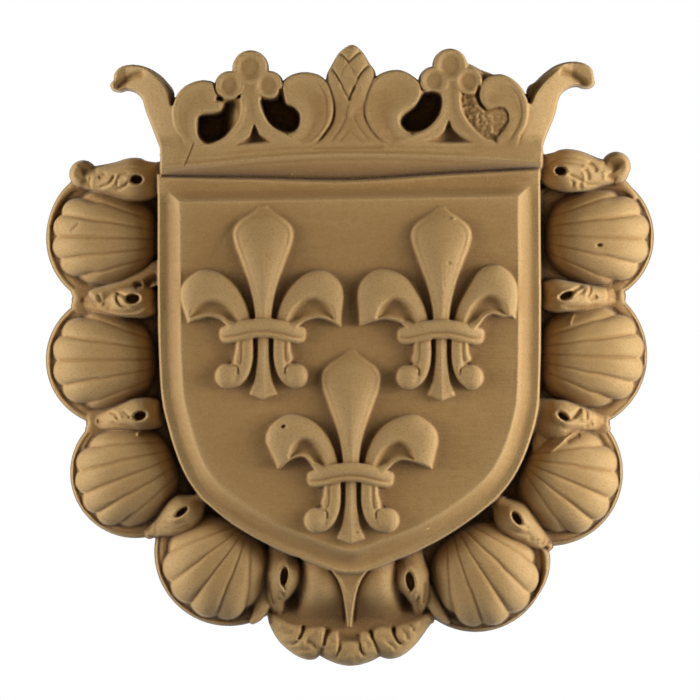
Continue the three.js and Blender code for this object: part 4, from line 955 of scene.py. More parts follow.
def blur(values, size):
    """Softens a canvas over the given distance."""
    reach = max(1, round(3 * size / STEP))
    weights = np.exp(-0.5 * (np.arange(-reach, reach + 1) * STEP / size) ** 2)
    weights /= weights.sum()
    for axis in (0, 1):
        pad = [(reach, reach) if axis == k else (0, 0) for k in (0, 1)]
        wide = np.pad(values, pad, mode="edge")
        values = sum(w * np.take(wide, range(k, k + values.shape[axis]), axis) for k, w in enumerate(weights))
    return values


def roughness(shape, size, rise):
    """Random waves of the given size and about the given rise."""
    noise = blur(chance.standard_normal(shape), size)
    return rise * noise / noise.std()


def lift(where, depth, top, wall=WALL, stands=False):
    """Raises the canvas to a form's top, with a steep wall where depth, the distance inside it, crosses 0. A
    form that stands by itself counts for the whole ornament's outline."""
    now = height[where]
    height[where] = mix(now, np.maximum(now, top), ease(depth / wall + 0.5))
    if stands:
        edge[where] = np.maximum(edge[where], depth + wall / 2)


def sink(where, depth, bottom, wall=WALL):
    """Lowers the canvas to a hollow's bottom, where that is lower."""
    now = height[where]
    height[where] = mix(now, np.minimum(now, bottom), ease(depth / wall + 0.5))


def end_fade(place, rate=END_RATE, start=END_START):
    """The strength of a line at a place along it: full, but less near both ends."""
    return ease(np.minimum(place, 1 - place) * rate + start)


def groove(width, depth, line, steps=12):
    """Cuts a line into the canvas, or raises a ridge on it where depth is negative. It fades at its ends."""
    line = curve(line, steps)
    where, x, z = around(line, 2 * width)
    away, place, _ = trace(line, x, z)
    height[where] -= depth * end_fade(place) * bump(away, width)


def fold(rise, line, steps=12):
    """A lobe lies over its neighbour: it swells on a line's left, and a crease runs along its right."""
    line = curve(line, steps)
    where, x, z = around(line, FOLD_REACH)
    away, place, side = trace(line, x, z)
    across = away * side
    section = sum(strength * bump(across - at, width) for strength, at, width in (FOLD_SWELL, FOLD_CREASE))
    height[where] += rise * end_fade(place) * section


def plate(outline, top):
    where, _, _, depth = laid(outline)
    lift(where, depth, top, stands=True)


def shield():
    """A raised field within a bevelled border, which is broader along the top."""
    outline = curve([*SHIELD_LEFT, *SHIELD_RIGHT[1:]], 72)
    where, x, z, depth = laid(outline)
    below_top = between([TOP_LEFT, TOP_RIGHT], x) - z
    inward = np.minimum(trace(outline, x, z)[0], between(TOP_BORDER, below_top))
    lift(where, depth, between(BORDER_SECTION, inward), stands=True)


def lily(centre, left, right, balls):
    """A lily: two side petals and two hooks, then the tall petal and the stem, and the tie over them."""
    centre = np.array(centre)

    def petal(across, middle, brim, depth):
        contour = sum(rise * bump(depth - inward, CONTOUR_WIDTH) for rise, inward in PETAL_CONTOUR)
        return mix(brim, middle, (1 - across**PETAL_FALL) ** PETAL_FLATNESS) + contour * middle / CONTOUR_FULL

    def stem(across, middle, brim, depth):
        return mix(brim, middle, (1 - across) ** STEM_FALL)

    for hand, sizes, ball in ((-1, left, balls[0]), (1, right, balls[1])):
        side_petal(centre, hand, **sizes)
        hook(centre, hand, ball)
    upright(LILY_PETAL, centre, petal)
    for aside in STREAKS:
        groove(STREAK_WIDTH, STREAK_DEPTH, [centre + (share * aside, up) for share, up in STREAK_ROWS])
    upright(LILY_STEM, centre, stem, foot=[(0, STEM_POINT)])
    lily_tie(centre)


def upright(table, centre, section, foot=()):
    """An upright part of a lily, from rows (up, half width, middle, edge). section gives its height from the
    place across it, 0 to 1, those two heights and the distance inside its edge."""
    table = curve(table, 60)
    right = table[:, [1, 0]]
    left = right[::-1] * (-1, 1)
    where, x, z, depth = laid(np.vstack([right, *foot, left]) + centre)
    half, middle, brim = between(table, z - centre[1])
    across = np.clip(np.abs(x - centre[0]) / half, 0, 1)
    lift(where, depth, FIELD_HEIGHT + section(across, middle, brim, depth), FINE_WALL)


def beside(centre, hand, points):
    """Places points of a lily's half on the canvas. hand is 1 for its right half, and -1 for its left."""
    return np.array(points) * (hand, 1) + centre


def side_petal(centre, hand, reach, crest, tip, hang, lip, hollow):
    """A side petal springs from the tie, rises, rolls outwards and hangs down to its tip. Below its rolled
    back it is hollow, down to a thin lower lip."""
    lip_out, lip_up = lip
    tip_out, tip_up = hang * reach, tip - 0.4
    end, top = hollow
    outer = [
        (5, 3.5), (6.8, 10), (10.3, 16.6), (15, crest - 3.3), (0.6 * reach, crest - 0.3),
        (0.75 * reach, crest), (0.89 * reach, crest - 2.9), (0.972 * reach, 0.745 * crest),
        (reach, 0.56 * crest), (mix(1, hang, 0.45) * reach, 0.34 * crest),
        (mix(1, hang, 0.85) * reach, tip + 1.7), (tip_out, tip_up),
    ]
    lower = [
        (13.5, 0.5), (15.6, 2.4), (18, 0.8 * lip_up), (lip_out, lip_up),
        (mix(lip_out, tip_out, 0.4), 0.86 * lip_up), (mix(lip_out, tip_out, 0.7), mix(lip_up, tip, 0.6)),
        (mix(lip_out, tip_out, 0.88), tip + 0.2), (tip_out, tip_up),
    ]
    outer, lower = curve(beside(centre, hand, outer), 40), curve(beside(centre, hand, lower), 30)
    where, x, z, depth = laid(np.vstack([outer, lower[::-1]]))
    from_outer, from_lip = trace(outer, x, z)[0], trace(lower, x, z)[0]
    back = BACK_BRIM + BACK_RISE * round_over(from_outer, BACK_ROLL)

    # The hollow: an arch from beside the tie to the outer end, and a floor line back along the lip
    shares = np.linspace(0, 1, 13)
    rises = (top - 6) * (4 * shares * (1 - shares)) ** 0.7
    arch = [(mix(DISH_ROOT, end, s), mix(4, lip_up + 1, s) + rise) for s, rise in zip(shares, rises)]
    floor_line = [(mix(end, DISH_ROOT, s), mix(lip_up - 0.6, 3, s)) for s in (0, 0.33, 0.66, 1)]
    dish = beside(centre, hand, arch + floor_line)
    in_dish = np.minimum(inside(dish, x, z), from_lip - LIP_WIDTH)
    rising = from_lip / (from_lip + trace(dish[: len(arch)], x, z)[0] + NEVER_ZERO)
    floor = mix(DISH_HIGH, DISH_LOW, ease(rising * 1.6))
    top_height = mix(back, np.minimum(back, floor), ease(in_dish / DISH_WALL + 0.4))
    lift(where, depth, FIELD_HEIGHT + top_height, FINE_WALL)


def hook(centre, hand, ball):
    """A hook hangs from the tie as a fluted strap, and curls up outwards round a ball."""
    turn = np.radians(np.linspace(*BALL_ARC, 14))
    round_ball = np.column_stack([ball + BALL_RADIUS * np.cos(turn), BALL_RADIUS * np.sin(turn) - BALL_DROP])
    neck = (ball + HOOK_NECK[0], HOOK_NECK[1])
    inner, outer = curve(HOOK_INNER, 14), curve([neck, *HOOK_OUTER], 10)
    where, x, z, depth = laid(beside(centre, hand, np.vstack([inner, round_ball, outer])))
    u, v = (x - centre[0]) * hand, z - centre[1]
    from_ball = BALL_RADIUS - np.hypot(u - ball, v + BALL_DROP)
    strap = STRAP_BRIM + STRAP_RISE * round_over(depth, STRAP_ROUNDING)
    top = np.maximum(strap, BALL_BRIM + BALL_RISE * round_over(from_ball, BALL_RADIUS))
    lift(where, depth, FIELD_HEIGHT + top, FINE_WALL)
    for width, cut, points in HOOK_MARKS:
        groove(width, cut, beside(centre, hand, points))
    for width, cut, points in BALL_MARKS:
        groove(width, cut, beside(centre, hand, np.array(points) + (ball, -BALL_DROP)))


def lily_tie(centre):
    """The tie round a lily: a broad bowed roll above a narrow one."""
    upper, lower = curve(TIE_UPPER, 32), curve(TIE_LOWER, 32)
    where, x, z, depth = laid(np.vstack([upper, lower[::-1]]) + centre)
    u, v = x - centre[0], z - centre[1]
    top_edge, bottom_edge = between(upper, u), between(lower, u)
    rolls = between(TIE_ROLLS, (top_edge - v) / (top_edge - bottom_edge))
    bow = TIE_MIDDLE - TIE_FALL * np.abs(u / TIE_HALF) ** TIE_BEND
    lift(where, depth, FIELD_HEIGHT + bow + rolls, FINE_WALL)


class Tree:
    """A geometry node tree with named inputs, built by short calls."""

    def __init__(self, name, inputs):
        self.tree = bpy.data.node_groups.new(name, "GeometryNodeTree")
        for title, kind in inputs:
            self.tree.interface.new_socket(title, in_out="INPUT", socket_type=kind)
        self.tree.interface.new_socket("Geometry", in_out="OUTPUT", socket_type="NodeSocketGeometry")
        self.given = self.tree.nodes.new("NodeGroupInput")

    def __getitem__(self, title):
        return self.given.outputs[title]

    def node(self, kind, inputs=(), **settings):
        made = self.tree.nodes.new(kind)
        for setting, value in settings.items():
            setattr(made, setting, value)
        for socket, value in dict(inputs).items():
            self.feed(made.inputs[socket], value)
        return made

    def feed(self, socket, value):
        if isinstance(value, bpy.types.NodeSocket):
            self.tree.links.new(value, socket)
        else:
            socket.default_value = value

    def math(self, operation, *values):
        made = self.tree.nodes.new("ShaderNodeMath")
        made.operation = operation
        for socket, value in zip(made.inputs, values):
            self.feed(socket, value)
        return made.outputs[0]

    def chain(self, operation, total, *values):
        for value in values:
            total = self.math(operation, total, value)
        return total

    def sum(self, *values):
        return self.chain("ADD", *values)

    def product(self, *values):
        return self.chain("MULTIPLY", *values)

    def less(self, value, *others):
        return self.chain("SUBTRACT", value, *others)

    def mixed(self, a, b, share):
        return self.sum(a, self.product(self.less(b, a), share))

    def eased(self, value):
        return self.node("ShaderNodeMapRange", {"Value": value}, interpolation_type="SMOOTHSTEP").outputs[0]


def shell_tree():
    """A ribbed dome whose ribs fan out from a hinge. It is a round sheet of rings and spokes, set by formula.
    p and q are the place of a point before the shell is turned to its aim: forward and to the side."""
    inputs = [("Geometry", "NodeSocketGeometry"), *((size, "NodeSocketFloat") for size in SHELL_SIZES)]
    t = Tree("Scallop shell", [*inputs, ("Finish", "NodeSocketMaterial")])
    rings, spokes = ((64, 400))
    counts = {"Vertices X": spokes + 1, "Vertices Y": rings + 1}
    sheet = t.node("GeometryNodeMeshGrid", {"Size X": 1.0, "Size Y": 1.0, **counts})
    spot = t.node("ShaderNodeSeparateXYZ", {0: t.node("GeometryNodeInputPosition").outputs[0]})
    angle = t.product(t.sum(spot.outputs[0], 0.5), 2 * math.pi)
    share = t.product(t.sum(spot.outputs[1], 0.5), DOME_SKIRT)
    cos, sin = t.math("COSINE", angle), t.math("SINE", angle)
    front = t.math("GREATER_THAN", cos, 0.0)
    length = t.mixed(t["Back"], t.less(t["Rim radius"], t["Gap"], t["Forward"]), front)

    def squared_off(value, size):
        return t.math("POWER", t.math("DIVIDE", t.math("ABSOLUTE", value), size), DOME_SQUARENESS)

    outline = t.sum(squared_off(cos, length), squared_off(sin, t["Half width"]))
    radius = t.math("POWER", outline, -1 / DOME_SQUARENESS)

    # The ribs: 0 on a rib and 1 in the groove between two
    forward = t.product(share, radius, cos)
    aside = t.product(share, radius, sin)
    turn = t.math("ABSOLUTE", t.math("ARCTAN2", aside, t.sum(forward, t["Hinge"])))
    behind = t.math("SQRT", t.less(t.product(t["Hinge"], t["Hinge"]), t.product(t["Back"], t["Back"])))
    widest = t.product(LAST_GROOVE, t.math("ARCTAN2", t["Half width"], behind))
    pitch = t.math("RADIANS", t["Spacing"])
    phase = t.math("DIVIDE", turn, pitch)
    last_rib = t.less(t.math("DIVIDE", widest, pitch), EVEN_RIBS)
    outer_phase = t.sum(EVEN_RIBS, t.math("DIVIDE", t.less(phase, EVEN_RIBS), last_rib))
    phase = t.mixed(phase, outer_phase, t.math("GREATER_THAN", phase, EVEN_RIBS))
    off = t.math("ABSOLUTE", t.less(phase, t.math("ROUND", phase)))
    cut = t.less(1.0, t.product(2.0, off))

    # The lip draws in at each groove
    drawn = t.product(LOBE_DEPTH, t.math("POWER", cut, LOBE_SHARPNESS), t.eased(t.product(cos, LOBES_ROUND)))
    scale = t.less(1.0, t.math("DIVIDE", drawn, radius))
    p = t.sum(t.product(forward, scale), t["Forward"])
    q = t.product(aside, scale)

    # The dome swells from its rim, and leans towards the lip
    facing = t.sum(0.5, t.product(0.5, cos))
    rim = t.mixed(float(HINGE_HEIGHT), float(LIP_HEIGHT), facing)
    capped = t.math("MINIMUM", share, 1.0)
    swell = t.math("POWER", t.less(1.0, t.math("POWER", capped, DOME_FALL)), DOME_FLATNESS)
    leaning = t.product(0.5, t["Lean"], t.sum(1.0, t.product(capped, cos)))
    dome = t.mixed(rim, t.less(float(SHELL_HEIGHT), leaning), swell)
    rate, start = RIBS_SHOWN
    shown = t.eased(t.sum(t.product(t.less(1.0, capped), rate), start))
    dome = t.less(dome, t.product(RIB_DEPTH, t.math("POWER", cut, RIB_SHARPNESS), shown))
    from_bead = t.math("ABSOLUTE", t.less(share, BEAD_PLACE))
    bead = t.product(LIP_BEAD, t.eased(t.less(1.0, t.product(from_bead, BEAD_FINENESS))))
    dome = t.sum(dome, t.product(bead, t.eased(t.product(cos, BEAD_ROUND))))
    fall = t.math("DIVIDE", t.less(share, capped), DOME_SKIRT - 1)
    dome = t.product(dome, t.less(1.0, fall))

    # Turned to its aim and set on its plate
    aim = t.math("RADIANS", t["Aim"])
    cos_aim, sin_aim = t.math("COSINE", aim), t.math("SINE", aim)
    x = t.sum(t["Centre X"], t.less(t.product(cos_aim, p), t.product(sin_aim, q)))
    z = t.sum(t["Centre Z"], t.product(sin_aim, p), t.product(cos_aim, q))
    place = t.node("ShaderNodeCombineXYZ", {0: x, 1: z, 2: dome}).outputs[0]
    moved = t.node("GeometryNodeSetPosition", {"Geometry": sheet.outputs["Mesh"], "Position": place})
    closed = t.node("GeometryNodeMergeByDistance", {"Geometry": moved.outputs[0], "Distance": MERGING})
    real = t.node("GeometryNodeRealizeInstances", {"Geometry": closed.outputs[0]})
    finished = t.node("GeometryNodeSetMaterial", {"Geometry": real.outputs[0], "Material": t["Finish"]})
    t.node("NodeGroupOutput", {0: finished.outputs[0]})
    return t.tree


def made_by(tree, values):
    """Runs a node tree on an empty mesh with the given named inputs, and returns the plain mesh."""
    holder = bpy.data.objects.new("holder", bpy.data.meshes.new("holder"))
    bpy.context.scene.collection.objects.link(holder)
    modifier = holder.modifiers.new("Nodes", "NODES")
    modifier.node_group = tree
    sockets = {item.name: item.identifier for item in tree.interface.items_tree if item.in_out == "INPUT"}
    for title, value in values.items():
        modifier[sockets[title]] = value
    depsgraph = bpy.context.evaluated_depsgraph_get()
    mesh = bpy.data.meshes.new_from_object(holder.evaluated_get(depsgraph))
    bpy.data.objects.remove(holder)
    return mesh


def points_of(mesh):
    """The points of a mesh, as rows (x, y, z)."""
    points = np.zeros(len(mesh.vertices) * 3)
    mesh.vertices.foreach_get("co", points)
    return points.reshape(-1, 3)


def press(mesh):
    """Raises the canvas to the top of a mesh whose points are (x, z, height), and cuts a channel round it."""
    points = points_of(mesh)
    surface = BVHTree.FromPolygons(points.tolist(), [tuple(face.vertices) for face in mesh.polygons])
    where, x, z = around(points, PRESS_MARGIN)
    top = np.zeros(x.shape)
    for index, (px, pz) in enumerate(zip(x.ravel(), z.ravel())):
        hit = surface.ray_cast((px, pz, HIGH_ABOVE), (0, 0, -1))[0]
        if hit is not None:
            top.flat[index] = hit.z
    height[where] = np.maximum(height[where], top)
    covered = top > DOME_FOOT
    height[where] -= CHANNEL_DEPTH * np.where(covered, 0, blur(covered * 1.0, CHANNEL_WIDTH))


def scallops(finish):
    """Each shell: a round plate with a raised rim, and the ribbed dome on it."""
    tree = shell_tree()
    for shell in SHELLS:
        sizes = dict(zip(SHELL_SIZES, map(float, shell)))
        centre_x, centre_z, rim, gap = shell[:4]
        where, _, _, depth = disc(centre_x, centre_z, rim)
        lift(where, depth, between(RIM_SECTION, depth / gap), stands=True)
        mesh = made_by(tree, {"Finish": finish, **sizes})
        press(mesh)
        bpy.data.meshes.remove(mesh)


def leaf(spine, eye, marks, folds=(), webs=(), knob=None, hollow=None):
    """A leaf scroll: its webs and its body, the knob at its tail, its eye, and the carving on it."""
    for web in webs:
        leaf_web(*web)
    leaf_body(spine)
    if knob:
        where, _, _, depth = disc(*knob)
        lift(where, depth, mix(KNOB_EDGE, KNOB_HEIGHT, round_over(depth, KNOB_ROUNDING)), stands=True)
        groove(HOLLOW_WIDTH, HOLLOW_DEPTH, hollow)
    where, x, z = around([eye[:2]], EYE_REACH)
    depth = oval(*eye, x, z)
    height[where] += BRIM_RISE * bump(depth + BRIM_OUT, BRIM_WIDTH)
    sink(where, depth, EYE_FLOOR, FINE_WALL)
    for mark in marks:
        groove(*mark)
    for lobe in folds:
        fold(*lobe)


def leaf_web(crest, shoulder, outline):
    """A web with rounded shoulders: crest high in the middle and shoulder high at its edge."""
    where, _, _, depth = laid(outline, 80)
    lift(where, depth, mix(shoulder, crest, round_over(depth, WEB_ROUNDING)), stands=True)


def leaf_body(spine):
    """A rounded body along a leaf's spine."""
    line = curve(spine, 24)
    where, x, z = around(line, line[:, 2].max() + MARGIN)
    away, place, _ = trace(line, x, z)
    half, crest = (np.interp(place, np.linspace(0, 1, len(line)), column) for column in line.T[2:])
    across = np.clip(away / half, 0, 1)
    section = mix(LEAF_SHOULDER, 1, (1 - across**LEAF_FALL) ** LEAF_FLATNESS)
    lift(where, half - away, crest * section, stands=True)


def crown():
    """The crown, from its ground up to its band, scrolls, horns, bud and trefoils."""
    plate(CROWN_GROUND, CROWN_FLOOR)
    plate(CROWN_PLATE, CROWN_BODY)
    plate(TREFOIL_BACK, TREFOIL_BACK_HEIGHT)
    for trefoil in TREFOILS:
        crown_scroll(trefoil["stem"], STEM_DISH)
    for outline in SCROLLS:
        crown_scroll(outline)
    for depth, line in SCROLL_RIMS:
        groove(RIM_WIDTH, depth, line, steps=24)
    crown_band()
    for horn in HORNS:
        crown_horn(**horn)
    centre_leaf()
    for trefoil in TREFOILS:
        trefoil_head(trefoil["lobes"])
        for roll in trefoil["rolls"]:
            groove(ROLL_WIDTH, -ROLL_RISE, roll, steps=20)
    filling()
    for slope, outline in OPENINGS:
        opening(outline, slope)
    for outline in RECESSES:
        recess(outline)
    for slot in SCROLL_SLOTS:
        groove(*slot)


def crown_band():
    """The crown's band: a slope up from the crease, and an upright face that ends among the scrolls' feet."""
    crease, bend, top = (curve(line, 30) for line in (BAND_CREASE, BAND_EDGE, BAND_TOP))
    where, x, z, depth = laid(np.vstack([crease, top[::-1]]))
    crease_level, bend_level, top_level = (between(line, x) for line in (crease, bend, top))
    share = np.clip((z - crease_level) / (bend_level - crease_level), 0, 1)
    slope = mix(BAND_LOW, BAND_HIGH, share**BAND_SWELL)
    above = z - bend_level
    bead, bead_up, bead_width = BAND_BEAD
    face = BAND_FACE + bead * bump(above - bead_up, bead_width)
    below_top, run = BAND_FADE
    fading = (top_level - z - below_top) * WALL / run
    lift(where, np.minimum(depth, fading), np.where(above < 0, slope, face), stands=True)
    sink(where, np.minimum(depth, -above), slope)
    groove(CREASE_WIDTH, CREASE_DEPTH, BAND_CREASE, steps=40)
    for up, cut in BAND_LINES:
        groove(1, cut, [(px, pz + up) for px, pz in BAND_EDGE[1:-1]], steps=30)


def crown_horn(outline, ledge, curl):
    """A horn leans outwards and curls over at its tip. A lower ledge runs behind its upper edge."""
    hand = math.copysign(1, outline[0][0])
    where, x, z, depth = laid(outline, 110)
    lean = np.clip((np.abs(x) - HORN_ROOT) / HORN_RUN, 0, HORN_LIMIT)
    top = HORN_TOP - HORN_FALL * lean**HORN_BEND - shoulder(depth, *HORN_SHOULDER)
    beyond, place, side = trace(curve(ledge, 20), x, z)
    back = ease(-beyond * side * hand) * end_fade(place, LEDGE_FADE, 0)
    lift_from_band(where, z, depth, mix(top, LEDGE_HEIGHT, back), *HORN_FOOT)
    groove(CURL_WIDTH, CURL_DEPTH, curl, steps=20)


def crown_scroll(outline, dish=SCROLL_DISH):
    """A scroll or stem of the crown, slightly dished."""
    where, _, z, depth = laid(outline, 100)
    top = SCROLL_TOP - shoulder(depth, *SCROLL_SHOULDER) - dish * ease((depth - DISH_INWARD) / DISH_RUN)
    lift_from_band(where, z, depth, top, *SCROLL_FOOT)


def lift_from_band(where, z, depth, top, lowest, parting, over):
    """Raises a form whose foot flows into the face of the band."""
    top = mix(BAND_FACE, top, ease((z - parting) / over))
    lift(where, np.minimum(depth, z - lowest), top, stands=True)


def trefoil_head(lobes):
    """Three round lobes that flow together in the middle, each with a soft dish in it."""
    middle_x, middle_z, radius = np.mean(lobes, axis=0)
    where, x, z = around(lobes, radius + HEAD_MARGIN)
    from_middle = np.hypot(x - middle_x, z - middle_z)
    lift(where, radius + MIDDLE_MARGIN - from_middle, TREFOIL_MIDDLE)
    away = [(size, np.hypot(x - x0, z - z0)) for x0, z0, size in lobes]
    depth = np.maximum.reduce([size - distance for size, distance in away])
    dishes = sum(ease((DISH_RADIUS - distance / size) / DISH_SLOPE) for size, distance in away)
    fall = mix(*LOBE_FALLS, ease((from_middle - LOBE_PARTING) / LOBE_PARTING))
    top = LOBE_TOP - shoulder(depth, fall, LOBE_ROUNDING) - LOBE_DISH * dishes
    height[where] = mix(height[where], top, ease(depth / WALL + 0.5))
    edge[where] = np.maximum(edge[where], depth + WALL / 2)


def centre_leaf():
    """The bud on the crown's middle, with its scales, above a veined leaf between two scrolls."""
    where, _, _, depth = laid(BUD, 60)
    lift(where, depth, BUD_BRIM + BUD_RISE * round_over(depth, BUD_ROUNDING), stands=True)
    left, right = (curve(side, 24) for side in LEAF_SIDES)
    where, _, z, depth = laid(np.vstack([left, right[::-1]]))
    top = LEAF_BRIM + LEAF_RISE * round_over(depth, LEAF_ROUNDING)
    lift(where, np.minimum(depth, z - LEAF_FOOT), top, stands=True)
    for outward, side in zip((-MARK_OUTWARD, MARK_OUTWARD), LEAF_SIDES):
        groove(*LEAF_MARK, [(px + outward, pz) for px, pz in side], steps=24)
    for mark in BUD_SCALES:
        groove(*mark)


def opening(outline, slope):
    """An opening between the crown's scrolls: its rim is rounded over and its floor lies deep. slope is how
    far its right-hand wall leans in."""
    outline = curve(outline, 80, closed=True)
    where, x, _, depth = laid(outline)
    height[where] -= shoulder(-depth, *OPENING_SHOULDER)
    floor = OPENING_FLOOR
    if slope:
        floor = mix(floor, LEANING_TOP, ease((x - outline[:, 0].max() + slope) / slope))
    sink(where, depth, floor, OPENING_WALL)


def recess(outline):
    """A three-cornered recess under a trefoil's stem, deep below its tip and rising to its other corners."""
    outline = np.array(outline, float)
    where, x, _, depth = laid(outline)
    tip, left, right = outline[0, 0], outline[:, 0].min(), outline[:, 0].max()
    sides = (((tip - x) / (tip - left), RECESS_LEFT), ((x - tip) / (right - tip), RECESS_RIGHT))
    rise = np.maximum.reduce([ease(rate * share - late) for share, (rate, late) in sides])
    height[where] -= shoulder(-depth, *RECESS_SHOULDER)
    sink(where, depth, mix(RECESS_LOW, RECESS_HIGH, rise), RECESS_WALL)


def filling():
    """A rough patch of filler closes one opening of the crown."""
    where, x, _, depth = laid(FILLING, 60)
    rough = roughness(x.shape, *GRAIN) + roughness(x.shape, *LUMPS)
    start, run, cut = FILLING_SEAM
    rough -= cut * bump(depth - SEAM_INWARD, SEAM_WIDTH) * ease((x - start) / run)
    start, run, swell = FILLING_SWELL
    top = FILLING_HEIGHT + swell * ease((x - start) / run) + rough
    height[where] = mix(height[where], top, ease(depth / FILLING_WALL + 0.5))


def pendant():
    """Two bowls on either side of a keel, above a fringe of rolled lobes."""
    where, x, z, depth = laid(PENDANT_EDGE, 120, PENDANT_MARGIN)
    lift(where, depth, PENDANT_PLATE, stands=True)

    half, crest = between(BOWL_ROWS, z)
    across = np.abs(x)
    away = (across - BOWL_MIDDLE) / (half - BOWL_MIDDLE)
    outer_side = np.sqrt(1 - np.clip(away, 0, 1) ** BOWL_ROUNDNESS)
    arch = np.where(away > 0, outer_side, 1 - BOWL_DISH * away**2)
    start, run, rise = VALLEY_RISE
    valley = VALLEY_HEIGHT + rise * ease((-z - start) / run)
    top = np.maximum(valley, VALLEY_HEIGHT + (crest - VALLEY_HEIGHT) * arch)
    skirt = mix(SKIRT_EDGE, SKIRT_HEIGHT, round_over(depth, SKIRT_ROUNDING))
    lobe_tops = between(LOBE_TOPS, x)
    step, share = LOBE_STEP
    top = mix(top, skirt, ease((lobe_tops - z) / step + share))
    rough = roughness(x.shape, *FRINGE_GRAIN) * below(z, lobe_tops + GRAIN_FROM, GRAIN_RUN)
    lift(where, depth, blur(top, BOWL_SOFTNESS) + rough)
    for mark in PENDANT_MARKS:
        groove(*mark)

    half, crest = between(KEEL, z)
    foot = z - KEEL[-1][0]
    depth = np.minimum(half - across, np.minimum(KEEL[0][0] - z, foot))
    cut, out, width = KEEL_HOLLOW
    height[where] -= cut * bump(depth + out, width) * ease(foot / KEEL_FOOT)
    edge_run, narrow, run = KEEL_DISH
    dish = ease(depth / edge_run) * ease((half - narrow) / run)
    lift(where, depth, crest - dish, FINE_WALL)


def accidents():
    """Cracks, pinholes and burrs."""
    for crack in CRACKS:
        groove(*crack)
    for *place, depth in PINHOLES:
        where, x, z = around([place[:2]], ACCIDENT_REACH)
        height[where] -= depth * ease(oval(*place, x, z) / PINHOLE_WALL + 0.5)
    for x0, z0, radius, rise in BURRS:
        where, x, z = around([(x0, z0)], ACCIDENT_REACH)
        height[where] += rise * bump(np.hypot(x - x0, z - z0), radius)


def relief(finish):
    """Raises every form on the canvas, from those at the back to those in front, and softens them all."""
    plate(GROUND, PLATE_HEIGHT)
    scallops(finish)
    for sizes in LEAVES:
        leaf(**sizes)
    pendant()
    shield()
    for sizes in LILIES:
        lily(**sizes)
    crown()
    accidents()
    height[:] = np.maximum(blur(height, SOFTNESS), np.where(edge > 0, LEAST_HEIGHT, 0))
    for size, rise in WAVINESS:
        height[:] += roughness(height.shape, size, rise)


def lifted():
    """Lifts the relief off the canvas: its points, and the four corners of each of its faces. The points just
    outside the outline are drawn in onto it, and lie on the back."""
    solid = edge > 0
    cell = solid[:-1, :-1] | solid[1:, :-1] | solid[:-1, 1:] | solid[1:, 1:]
    for _ in range(3):  # two cells that touch at a corner alone get a third beside them
        a, b, c, d = cell[:-1, :-1], cell[:-1, 1:], cell[1:, :-1], cell[1:, 1:]
        b |= a & d & ~b & ~c
        a |= b & c & ~a & ~d
    used = np.zeros(solid.shape, bool)
    for dr in (0, 1):
        for dc in (0, 1):
            used[dr : dr + cell.shape[0], dc : dc + cell.shape[1]] |= cell
    x, z = np.meshgrid(columns, rows)
    slope_z, slope_x = np.gradient(edge, STEP)
    steep = np.maximum(np.hypot(slope_x, slope_z), LEAST_SLOPE)
    brink = used & ~solid
    x = np.where(brink, x - edge * slope_x / steep**2, x)
    z = np.where(brink, z - edge * slope_z / steep**2, z)
    number = np.full(solid.shape, -1)
    number[used] = np.arange(used.sum())
    points = np.column_stack([x[used], np.where(brink, 0, -height)[used], z[used]]) * UNIT
    r, c = np.nonzero(cell)
    quads = np.column_stack([number[r, c], number[r, c + 1], number[r + 1, c + 1], number[r + 1, c]])
    return points, quads


def closed_mesh(points, quads):
    """The relief's faces, and one flat face that closes each of their borders at the back."""
    ahead = {}
    sides = np.concatenate([quads[:, [k, (k + 1) % 4]] for k in range(4)])
    keys = sides[:, 0] * len(points) + sides[:, 1]
    twins = sides[:, 1] * len(points) + sides[:, 0]
    for a, b in sides[~np.isin(keys, twins)]:
        ahead[int(a)] = int(b)
    loops = []
    while ahead:
        start, current = ahead.popitem()
        loop = [start]
        while current != start:
            loop.append(current)
            current = ahead.pop(current)
        loops.append(loop[::-1])
    mesh = bpy.data.meshes.new("onlay")
    sizes = [4] * len(quads) + [len(loop) for loop in loops]
    corners = np.concatenate([quads.ravel(), *loops])
    mesh.vertices.add(len(points))
    mesh.vertices.foreach_set("co", points.ravel())
    mesh.loops.add(len(corners))
    mesh.loops.foreach_set("vertex_index", corners)
    mesh.polygons.add(len(sizes))
    mesh.polygons.foreach_set("loop_start", np.concatenate([[0], np.cumsum(sizes)[:-1]]))
    mesh.update(calc_edges=True)
    mesh.validate()
    return mesh


def thinned(piece):
    """Brings a piece's mesh down to the wanted number of triangles."""
    piece.data.calc_loop_triangles()
    modifier = piece.modifiers.new("Thin", "DECIMATE")
    modifier.ratio = min(1, TRIANGLES / len(piece.data.loop_triangles))
    modifier.use_collapse_triangulate = True
    thin = bpy.data.meshes.new_from_object(piece.evaluated_get(bpy.context.evaluated_depsgraph_get()))
    piece.modifiers.clear()
    piece.data = thin


def sampled(values, mesh):
    """Reads a canvas at the place of each point of the finished mesh."""
    x, _, z = points_of(mesh).T / UNIT
    c = np.clip((x - columns[0]) / STEP, 0, len(columns) - 1.001)
    r = np.clip((z - rows[0]) / STEP, 0, len(rows) - 1.001)
    c0, r0 = c.astype(int), r.astype(int)
    lower = mix(values[r0, c0], values[r0, c0 + 1], c - c0)
    upper = mix(values[r0 + 1, c0], values[r0 + 1, c0 + 1], c - c0)
    return mix(lower, upper, r - r0)


def faces_back(mesh):
    """Whether each face of the mesh belongs to the flat back."""
    normals = np.zeros(len(mesh.polygons) * 3)
    mesh.polygons.foreach_get("normal", normals)
    return normals[1::3] > FACING_BACK


